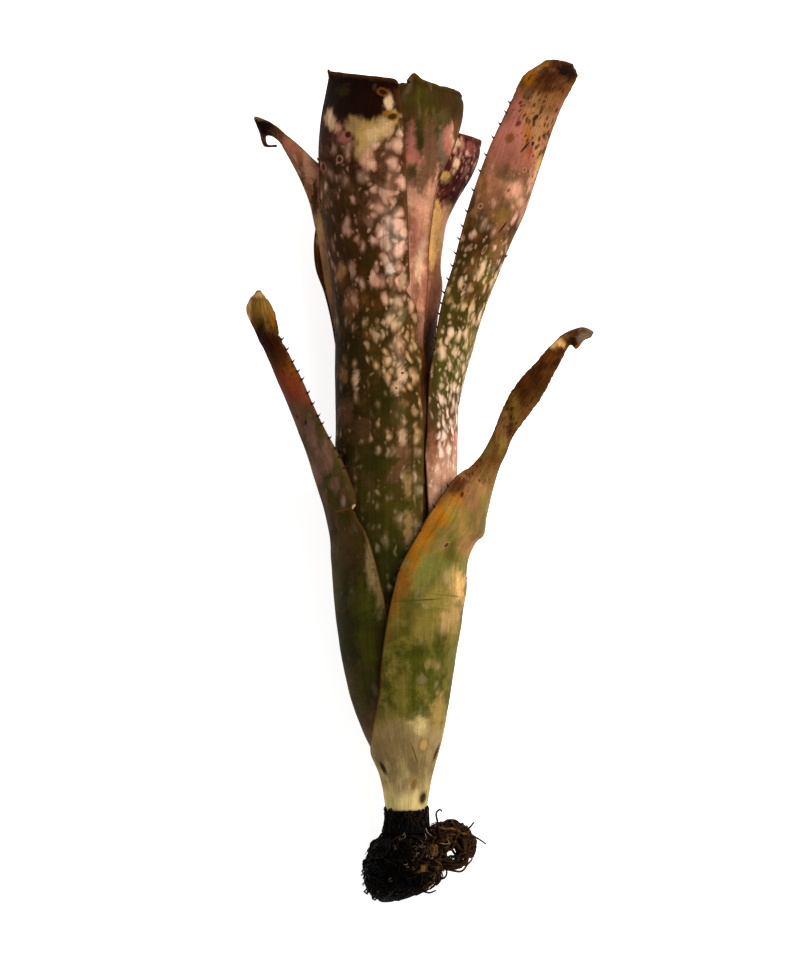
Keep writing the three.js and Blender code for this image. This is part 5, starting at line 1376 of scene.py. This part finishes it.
def foot_roots(random, count):
    """Roots across the ball's rounded foot: bent chords of the unit disc, laid on a cap of the ball's size.

    The cap rises and leans with the square of the distance from its middle.
    """
    column = drawing(random, count)
    t = np.linspace(-1, 1, 12)[None, :]
    turn, reach, aside = column(0, np.pi), column(0.2, 0.7), column(-0.9, 0.9)
    bent = aside + column(-0.3, 0.3) * t ** 2 + 0.05 * np.sin(column(4, 9) * t + column(0, 6))
    across = reach * t * np.cos(turn) - bent * np.sin(turn)
    deep = reach * t * np.sin(turn) + bent * np.cos(turn)
    size = np.maximum(np.hypot(across, deep) / 1.02, 1)
    across, deep = across / size, deep / size
    far = across ** 2 + deep ** 2
    x = FOOT_CAP["x"] + FOOT_CAP["lean"] * far + FOOT_CAP["half_width"] * across
    h = FOOT_CAP["h"] + FOOT_CAP["rise"] * far + column(0.4, 1.0)
    z = FOOT_CAP["z"] + FOOT_CAP["half_depth"] * deep
    return np.stack([x, h, z], axis=-1), column(0.22, 0.55) * (1 - 0.4 * np.abs(t))


def kept_clear(paths):
    """Paths moved out of the mat's gaps, away from each gap's centre to its oval's edge."""
    paths = paths.copy()
    for x, h, half_width, half_length in MAT_GAPS:
        away = (paths[..., :2] - [x, h]) / [half_width, half_length]
        far = np.linalg.norm(away, axis=-1, keepdims=True)
        moved = [x, h] + away / np.maximum(far, 0.05) * [half_width, half_length]
        paths[..., :2] = np.where(far < 1, moved, paths[..., :2])
    return paths


def mat_tangle(random, count):
    """Strands wound round the mat's lumps: each runs part of an oval that is tilted at random, and curls."""
    controls, steps = 12, 28
    lumps = np.array(MAT_LUMPS, float)
    lump = lumps[random.integers(0, len(lumps), count)]
    frame_a = unit(random.normal(size=(count, 3)))
    frame_b = unit(np.cross(frame_a, random.normal(size=(count, 3))))
    t = np.linspace(0, 1, controls)[None, :, None]
    turn = random.uniform(0, 2 * np.pi, (count, 1, 1)) + random.uniform(1.6, 5.5, (count, 1, 1)) * t
    way = frame_a[:, None] * np.cos(turn) + frame_b[:, None] * np.sin(turn)
    curl = 0.07 * np.sin(turn * random.uniform(2, 6, (count, 1, 1)) + random.uniform(0, 6, (count, 1, 3)))
    reach = random.uniform(0.88, 1.12, (count, 1, 1))
    reach = reach + random.uniform(-0.12, 0.12, (count, controls, 1)) * 0.5
    paths = lump[:, None, :3] + lump[:, None, 3:] * (way * reach + curl)
    paths[..., :2] = kept_clear(paths)[..., :2]
    from_middle = np.abs(np.linspace(-1, 1, steps)[None, :])
    thick = random.uniform(0.2, 0.62, (count, 1)) * (1 - 0.4 * from_middle ** 3)
    return smooth_paths(paths, steps), thick


def mat_loops(random, count):
    """Loops of the loose mat: from the core out round an oval and back into the core."""
    column = drawing(random, count)
    steps = 34
    size = column(0.6, 0.98)
    depth = column(MAT["low_z"], MAT["high_z"])
    rise = column(0.9, 2.1)
    fall = column(0.9, 2.1)
    middle = column(-0.4, 0.4)
    turns = np.concatenate([rise, (rise + middle) / 2, middle, (middle - fall) / 2, -fall], axis=1)
    reach = size * random.uniform(0.8, 1.06, turns.shape)
    x = MAT["x"] + MAT["reach_x"] * reach * np.cos(turns)
    h = MAT["h"] + MAT["reach_h"] * reach * np.sin(turns)
    z = depth + random.uniform(-4, 4, turns.shape)
    inside = np.full((count, 1), 2.0)
    starts = np.concatenate([inside, -14 - 3 * random.random((count, 1)), depth], axis=1)
    stops = np.concatenate([inside, -19 - 6 * random.random((count, 1)), depth], axis=1)
    control = np.concatenate([starts[:, None], np.stack([x, h, z], axis=-1), stops[:, None]], axis=1)
    paths = smooth_paths(control, steps)
    along = np.linspace(0, 1, steps)[None, :]
    for axis in range(3):
        paths[..., axis] += 0.45 * np.sin(along * column(20, 42) + column(0, 6))
    thick = column(0.2, 0.62) * (1 + 0.15 * np.sin(along * 50 + rise))
    return kept_clear(paths), thick


def ball_angles(rows, sides):
    """Lift from pole to pole as a column, and turn all round as a row."""
    return np.linspace(-np.pi / 2, np.pi / 2, rows)[:, None], full_turn(sides)


def mat_lumps(random):
    """The solid lumps of the mat: ellipsoids of matted root, roughened by soft waves."""
    rows, sides = 26, 36
    lift, turn = ball_angles(rows, sides)
    across, up = np.cos(lift) * np.cos(turn), np.cos(lift) * np.sin(turn)
    way = np.stack([across, up, np.sin(lift) + 0 * turn], axis=-1)
    points, faces = [], []
    for number, row in enumerate(MAT_LUMPS):
        size = np.array(row[3:]) * 0.86
        place = way * size
        rough = ripple(place[..., 0] + place[..., 2], place[..., 1] - place[..., 2], 3.4, SEED + 30 + number)
        grains = 0.06 * random.uniform(-1, 1, (rows, sides)) * np.cos(lift)
        lump = place * (1 + 0.1 * rough + grains)[..., None] + np.array(row[:3])
        points.append(kept_clear(lump).reshape(-1, 3))
        faces += capped_faces(rows, sides, number * rows * sides)
    return np.concatenate(points), faces


def pale_hairs(random, count):
    """Fine pale root hairs: short curly threads that leave the ball, most of them at its upper right."""
    column = drawing(random, count)
    chosen = random.random((count, 1)) < 0.65
    turn = np.where(chosen, column(-0.3, 1.0), column(0, 2 * np.pi))
    h = np.where(chosen, column(-22, -11), column(-37, -12))
    t = np.linspace(0, 1, 8)[None, :]
    wave = column(0, 2 * np.pi)
    reach = column(0.3, 1.6)
    path_h = np.clip(h + column(-3, 3) * t + 0.5 * np.sin(9 * t + wave), -39.5, -8)
    swing = column(-0.2, 0.2) * t + 0.04 * np.cos(8 * t + wave)
    paths = core_points(path_h, turn + swing, 0.5 + reach * np.sin(2.6 * t))
    return paths, column(0.09, 0.2) * np.ones_like(t)


def single_roots(rows, radius, steps, tip):
    """Roots through given points, whose radius falls evenly from a tenth more to tip times the given one."""
    paths = np.concatenate([smooth_paths(np.array(points, float)[None], steps) for points in rows])
    return paths, np.full(paths.shape[:2], radius) * np.linspace(1.1, tip, steps)[None, :]


def build_root_ball(settings):
    """The root ball as one piece: its core, the mat's lumps, and every group of strands."""
    random = np.random.default_rng(SEED)
    # Each group: paths, radii, sides, and how brown it is
    groups = [
        (*surface_roots(random, settings.surface_roots), 5, 0.0),
        (*mat_tangle(random, settings.mat_strands), 5, 0.3),
        (*mat_loops(random, settings.mat_loops), 5, 0.3),
        (*single_roots(WIRY_ROOTS, WIRY_RADIUS, 26, 0.65), 8, 0.1),
        (*single_roots(PALE_ROOTS, PALE_RADIUS, 10, 0.6), 6, STRAW),
        (*pale_hairs(random, settings.hairs), 3, STRAW),
        (*foot_roots(np.random.default_rng(SEED + 3), settings.foot_roots), 5, 0.0),
    ]
    core, core_faces = core_surface(random)
    lumps, lump_faces = mat_lumps(random)
    all_points = [core, lumps]
    all_faces = [*core_faces, *(group + len(core) for group in lump_faces)]
    colours = [
        np.tile(to_linear(FIBRE_COLOURS["core"]), (len(core), 1)),
        np.tile(to_linear(FIBRE_COLOURS["lump"]), (len(lumps), 1)),
    ]
    count = len(core) + len(lumps)
    for paths, radii, sides, brownness in groups:
        # No strand sinks through the surface that the plant lies on
        paths[..., 2] = np.maximum(paths[..., 2], radii * 1.05)
        points, faces = tubes(paths, radii, sides)
        points[:, 2] = np.maximum(points[:, 2], 0)
        own = root_colours(paths[:, :, 0].mean(axis=1), brownness, random)
        colours.append(np.repeat(own, paths.shape[1] * sides, axis=0))
        all_points.append(points)
        all_faces += [group + count for group in faces]
        count += len(points)
    finish = strand_finish("dried_wiry_root", 0.62, 1.6)
    piece = new_piece("root_ball_grown", np.concatenate(all_points), all_faces, [finish], {
        "strand_colour": np.concatenate(colours),
    })
    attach(piece, "root")
    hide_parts("root_ball")


def root_colours(x, brownness, random):
    """A colour for each strand: black at the left turning brown at the right, tan on a few as paler roots and
    painted highlights, and straw for the hairs.
    """
    count = len(x)
    black, brown, tan, straw = (
        np.array(to_linear(FIBRE_COLOURS[key])) for key in ("black", "brown", "tan", "straw"))
    if brownness == STRAW:
        return straw * (0.08 + 0.45 * random.random((count, 1)) ** 1.5)
    share = smooth_step(-7, 13, x) * 0.8 + brownness * 0.6 + random.uniform(-0.3, 0.3, count)
    share = np.clip(share, 0, 1)[:, None]
    colours = black + (brown - black) * share ** 1.4
    # A few strands, more of them at the right, turn tan: partly paler roots, partly painted highlights
    paler_strand_and_highlight = (random.random((count, 1)) < 0.05 + 0.12 * share) * random.uniform(0.3, 1, (count, 1)) * share
    return colours + (tan - colours) * paler_strand_and_highlight


def around_axis(h, turn, radius):
    """Points round the tube's axis: radius times the sine of the turn across and its cosine upwards."""
    x, z = axis_x(h) + radius * np.sin(turn), axis_z(h) + radius * np.cos(turn)
    return np.stack([x, np.broadcast_to(h, radius.shape), z], axis=-1)


def build_collar(settings):
    """The fibre collar: a lumpy dark sleeve, and strands whose ragged ends lap the lowest sheath."""
    random = np.random.default_rng(SEED + 2)
    rows, sides = 40, 140
    h = np.linspace(COLLAR_FOOT, COLLAR_TOP, rows)[:, None]
    turn = full_turn(sides)
    around, up = COLLAR_RADIUS * np.sin(turn), COLLAR_RADIUS * np.cos(turn)
    radius = COLLAR_RADIUS + 0.35 * ripple(around + 0.3 * h, up + 0.5 * h, 5, SEED + 3)
    radius = radius + 0.2 * ripple(around - 0.4 * h, up + 0.2 * h, 1.8, SEED + 4)
    radius = radius + 1.3 * smooth_step(-4, COLLAR_FOOT, h) - 0.5 * smooth_step(-1.6, COLLAR_TOP, h)
    sleeve = around_axis(h, turn, radius).reshape(-1, 3)
    sleeve_faces = [group[:, ::-1] for group in capped_faces(rows, sides)]

    count, steps, strand_sides = settings.collar_fibres, 16, 5
    column = drawing(random, count)
    t = np.linspace(0, 1, 10)[None, :]
    turn = 2 * np.pi * (np.arange(count)[:, None] + random.random((count, 1))) / count
    foot = column(-11.2, -2.5)
    # At the front the ragged edge stays below the sheath's foot, and at the sides it laps over it
    lap = 0.2 + 2.2 * np.abs(np.sin(turn)) ** 1.5
    top = -1 + column(0, 1) ** 1.5 * (lap + 1)
    path_h = foot + (top - foot) * t
    wave, pace = column(0, 6), column(3, 9)
    radius = 9.1 + column(-0.2, 0.35) + 0.25 * np.sin(pace * t + wave)
    radius = radius + 1.1 * smooth_step(-4, COLLAR_FOOT, path_h) + column(-0.1, 0.5) * t ** 3
    bend = column(-0.45, 0.45) * t + 0.05 * np.sin(pace * t)
    paths = smooth_paths(around_axis(path_h, turn + bend, radius), steps)
    points, faces = tubes(paths, np.repeat(column(0.14, 0.46), steps, axis=1), strand_sides)
    black, brown = (np.array(to_linear(FIBRE_COLOURS[key])) for key in ("sheath_black", "sheath_brown"))
    own = black + (brown - black) * random.random((count, 1)) ** 3
    colours = [np.tile(black, (len(sleeve), 1)), np.repeat(own, steps * strand_sides, axis=0)]
    finish = strand_finish("black_sheath_fibre", 0.5, 0.9)
    all_faces = [*sleeve_faces, *(group + len(sleeve) for group in faces)]
    piece = new_piece("fibre_collar_grown", np.concatenate([sleeve, points]), all_faces, [finish], {
        "strand_colour": np.concatenate(colours),
    })
    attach(piece, "root")
    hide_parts("fibre_collar")


def turned(points, tilt):
    """Points turned about X, then Y, then Z by angles in degrees."""
    for axis, degrees in enumerate(tilt):
        a, b = (axis + 1) % 3, (axis + 2) % 3
        cosine, sine = math.cos(math.radians(degrees)), math.sin(math.radians(degrees))
        first = points[..., a] * cosine - points[..., b] * sine
        second = points[..., a] * sine + points[..., b] * cosine
        points = points.copy()
        points[..., a] = first
        points[..., b] = second
    return points


def build_bark(settings):
    """Bark pieces: boxes rounded as a superellipsoid of power 5, broken up by soft waves."""
    finish = bark_finish()
    rows, sides = 25, 48
    lift, turn = ball_angles(rows, sides)

    def power(value):
        return np.sign(value) * np.abs(value) ** 0.4

    across = power(np.cos(lift)) * power(np.cos(turn))
    deep = power(np.cos(lift)) * power(np.sin(turn))
    up = np.broadcast_to(power(np.sin(lift)), (rows, sides))
    shape = np.stack([across, deep, up], axis=-1)
    for number, (centre, size, tilt) in enumerate(BARK_PIECES, start=1):
        waves = ripple(shape[..., 0] * 4, shape[..., 1] * 4 + shape[..., 2] * 3, 2.4, SEED + number)
        rough = 1 + settings.bark_roughness * waves[..., None]
        points = turned(shape * rough * np.array(size) * 0.52, tilt) + np.array(centre)
        piece = new_piece(f"bark_piece_{number}", points.reshape(-1, 3), capped_faces(rows, sides), [finish])
        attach(piece, "root")
        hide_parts(f"bark_chip_{number}")


def build_stage(settings):
    """The floor, the lights and the camera, which looks straight down as the photograph does."""
    floor_mesh = bpy.data.meshes.new("floor")
    signs = ((-1, -1), (1, -1), (1, 1), (-1, 1))
    corners = [(x * FLOOR_REACH, y * FLOOR_REACH, -FLOOR_DROP) for x, y in signs]
    floor_mesh.from_pydata(corners, [], [(0, 1, 2, 3)])
    floor_mesh.materials.append(floor_finish(settings.floor_colour, settings.floor_glow))
    floor = new_object("floor", floor_mesh)
    for name, at, (width, height), key, share in LIGHTS:
        data = bpy.data.lights.new(name, "AREA")
        data.shape = "RECTANGLE"
        data.size, data.size_y, data.energy = width, height, getattr(settings, key) * share
        light = new_object(name, data)
        away = np.array(at) - np.array(LIT_POINT)
        tilt = math.atan2(math.hypot(away[0], away[1]), away[2])
        light.location = at
        light.rotation_euler = (tilt, 0, math.atan2(away[1], away[0]) + math.pi / 2)
    world = bpy.data.worlds.new("studio")
    world.use_nodes = True
    background = world.node_tree.nodes["Background"]
    background.inputs["Color"].default_value = to_linear("#ffffff")
    background.inputs["Strength"].default_value = settings.room_light
    bpy.context.scene.world = world
    data = bpy.data.cameras.new("camera")
    camera = new_object("camera", data)
    across = (IMAGE_WIDTH / 2 - AXIS_PIXEL_X) * MM_PER_PIXEL
    up = (FOOT_PIXEL_Y - IMAGE_HEIGHT / 2) * MM_PER_PIXEL + FOOT_Y
    camera.location = (across * MM, up * MM, settings.camera_height)
    data.sensor_fit = "VERTICAL"
    distance = settings.camera_height / MM - SCALE_PLANE_Z
    data.lens = data.sensor_height * distance / (IMAGE_HEIGHT * MM_PER_PIXEL)
    data.clip_end = 50
    bpy.context.scene.camera = camera
    bpy.context.scene.view_settings.view_transform = "Standard"


class LeafSettings(bpy.types.PropertyGroup):
    """Sizes of the leaves' surface"""
    spacing: bpy.props.FloatProperty(
        name="Spacing", description="Distance between the surface's points along a leaf",
        default=0.95 * MM, min=0.4 * MM, max=5 * MM, subtype="DISTANCE", precision=5)
    thorn_length: bpy.props.FloatProperty(
        name="Thorn length", description="How far a thorn stands out of the margin",
        default=THORN_LENGTH * MM, min=0.5 * MM, max=4 * MM, subtype="DISTANCE", precision=5)
    thorn_radius: bpy.props.FloatProperty(
        name="Thorn radius", description="Radius of a thorn at the margin",
        default=THORN_RADIUS * MM, min=0.1 * MM, max=1 * MM, subtype="DISTANCE", precision=5)


class RootSettings(bpy.types.PropertyGroup):
    """Numbers of roots and fibres"""
    surface_roots: bpy.props.IntProperty(
        name="Surface roots", description="Roots that run down the ball", default=400, min=20, max=900)
    foot_roots: bpy.props.IntProperty(
        name="Foot roots", description="Roots across the ball's foot", default=110, min=10, max=400)
    mat_strands: bpy.props.IntProperty(
        name="Mat strands", description="Strands wound round the mat's lumps", default=150, min=8, max=400)
    mat_loops: bpy.props.IntProperty(
        name="Mat loops", description="Loops of the loose mat", default=22, min=4, max=200)
    hairs: bpy.props.IntProperty(
        name="Hairs", description="Fine pale hairs on the ball", default=24, min=0, max=900)
    collar_fibres: bpy.props.IntProperty(
        name="Collar fibres", description="Strands of the collar", default=190, min=20, max=600)
    bark_roughness: bpy.props.FloatProperty(
        name="Bark roughness", description="Unevenness of a bark piece, as a share of its size",
        default=0.16, min=0, max=0.3, subtype="FACTOR")


class StageSettings(bpy.types.PropertyGroup):
    """Floor, lights and camera"""
    floor_colour: bpy.props.FloatVectorProperty(
        name="Floor colour", description="Colour of the floor", subtype="COLOR", size=4,
        default=to_linear("#fbfbfb"), min=0, max=1)
    floor_glow: bpy.props.FloatProperty(
        name="Floor glow", description="Strength of the floor's own light", default=0.8, min=0)
    key_power: bpy.props.FloatProperty(
        name="Key light", description="Power of the light from the upper right",
        default=34, min=0, unit="POWER")
    fill_power: bpy.props.FloatProperty(
        name="Fill light", description="Power of the lights at the left and below",
        default=2.5, min=0, unit="POWER")
    room_light: bpy.props.FloatProperty(
        name="Room light", description="Strength of the light from all round", default=0.25, min=0)
    camera_height: bpy.props.FloatProperty(
        name="Camera height", description="Height of the camera above the floor",
        default=2.5, min=1, max=10, subtype="DISTANCE")


class BILLBERGIA_OT_stage(bpy.types.Operator):
    """Makes the floor, the lights and the camera"""
    bl_idname = "billbergia.stage"
    bl_label = "Stage"

    def execute(self, context):
        build_stage(context.scene.billbergia_stage)
        return {"FINISHED"}


class BILLBERGIA_OT_leaves(bpy.types.Operator):
    """Makes the eight leaves with their thorns"""
    bl_idname = "billbergia.leaves"
    bl_label = "Leaves"

    def execute(self, context):
        for number, name in enumerate(LEAVES):
            build_leaf(name, context.scene.billbergia_leaves, SEED + 1000 * (number + 1))
        return {"FINISHED"}


class BILLBERGIA_OT_stem(bpy.types.Operator):
    """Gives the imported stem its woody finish"""
    bl_idname = "billbergia.stem"
    bl_label = "Stem"

    def execute(self, context):
        stem = bpy.data.objects["stem"]
        finish = stem_finish()
        if not stem.material_slots:
            raise RuntimeError("the packed stem has no material slot")
        for slot in stem.material_slots:
            slot.material = finish
        return {"FINISHED"}


class BILLBERGIA_OT_collar(bpy.types.Operator):
    """Makes the collar of black fibre under the lowest sheath"""
    bl_idname = "billbergia.collar"
    bl_label = "Fibre collar"

    def execute(self, context):
        build_collar(context.scene.billbergia_roots)
        return {"FINISHED"}


class BILLBERGIA_OT_root_ball(bpy.types.Operator):
    """Makes the root ball"""
    bl_idname = "billbergia.root_ball"
    bl_label = "Root ball"

    def execute(self, context):
        build_root_ball(context.scene.billbergia_roots)
        return {"FINISHED"}


class BILLBERGIA_OT_bark(bpy.types.Operator):
    """Makes the pieces of bark among the roots"""
    bl_idname = "billbergia.bark"
    bl_label = "Bark"

    def execute(self, context):
        build_bark(context.scene.billbergia_roots)
        return {"FINISHED"}


OPERATORS = [
    BILLBERGIA_OT_stage, BILLBERGIA_OT_leaves, BILLBERGIA_OT_stem, BILLBERGIA_OT_collar,
    BILLBERGIA_OT_root_ball, BILLBERGIA_OT_bark,
]


class BILLBERGIA_PT_sidebar(bpy.types.Panel):
    """Lists the steps and their sizes in the sidebar"""
    bl_idname = "BILLBERGIA_PT_sidebar"
    bl_label = "Bare-root billbergia"
    bl_space_type = "VIEW_3D"
    bl_region_type = "UI"
    bl_category = "Billbergia"

    def draw(self, context):
        for operator in OPERATORS:
            self.layout.operator(operator.bl_idname)
        for group in SETTINGS:
            settings = getattr(context.scene, group)
            box = self.layout.box()
            for key in type(settings).__annotations__:
                box.prop(settings, key)


CLASSES = [LeafSettings, RootSettings, StageSettings, *OPERATORS, BILLBERGIA_PT_sidebar]
SETTINGS = {
    "billbergia_leaves": LeafSettings, "billbergia_roots": RootSettings, "billbergia_stage": StageSettings,
}


def register():
    """Registers the classes and hangs the settings on the scene."""
    for item in CLASSES:
        bpy.utils.register_class(item)
    for key, group in SETTINGS.items():
        setattr(bpy.types.Scene, key, bpy.props.PointerProperty(type=group))


def unregister():
    """Takes the settings and the classes away again."""
    for key in SETTINGS:
        delattr(bpy.types.Scene, key)
    for item in reversed(CLASSES):
        bpy.utils.unregister_class(item)


def main():
    """Builds everything in order."""
    register()
    for operator in OPERATORS:
        kind, step = operator.bl_idname.split(".")
        getattr(getattr(bpy.ops, kind), step)()


if __name__ == "__main__":
    main()
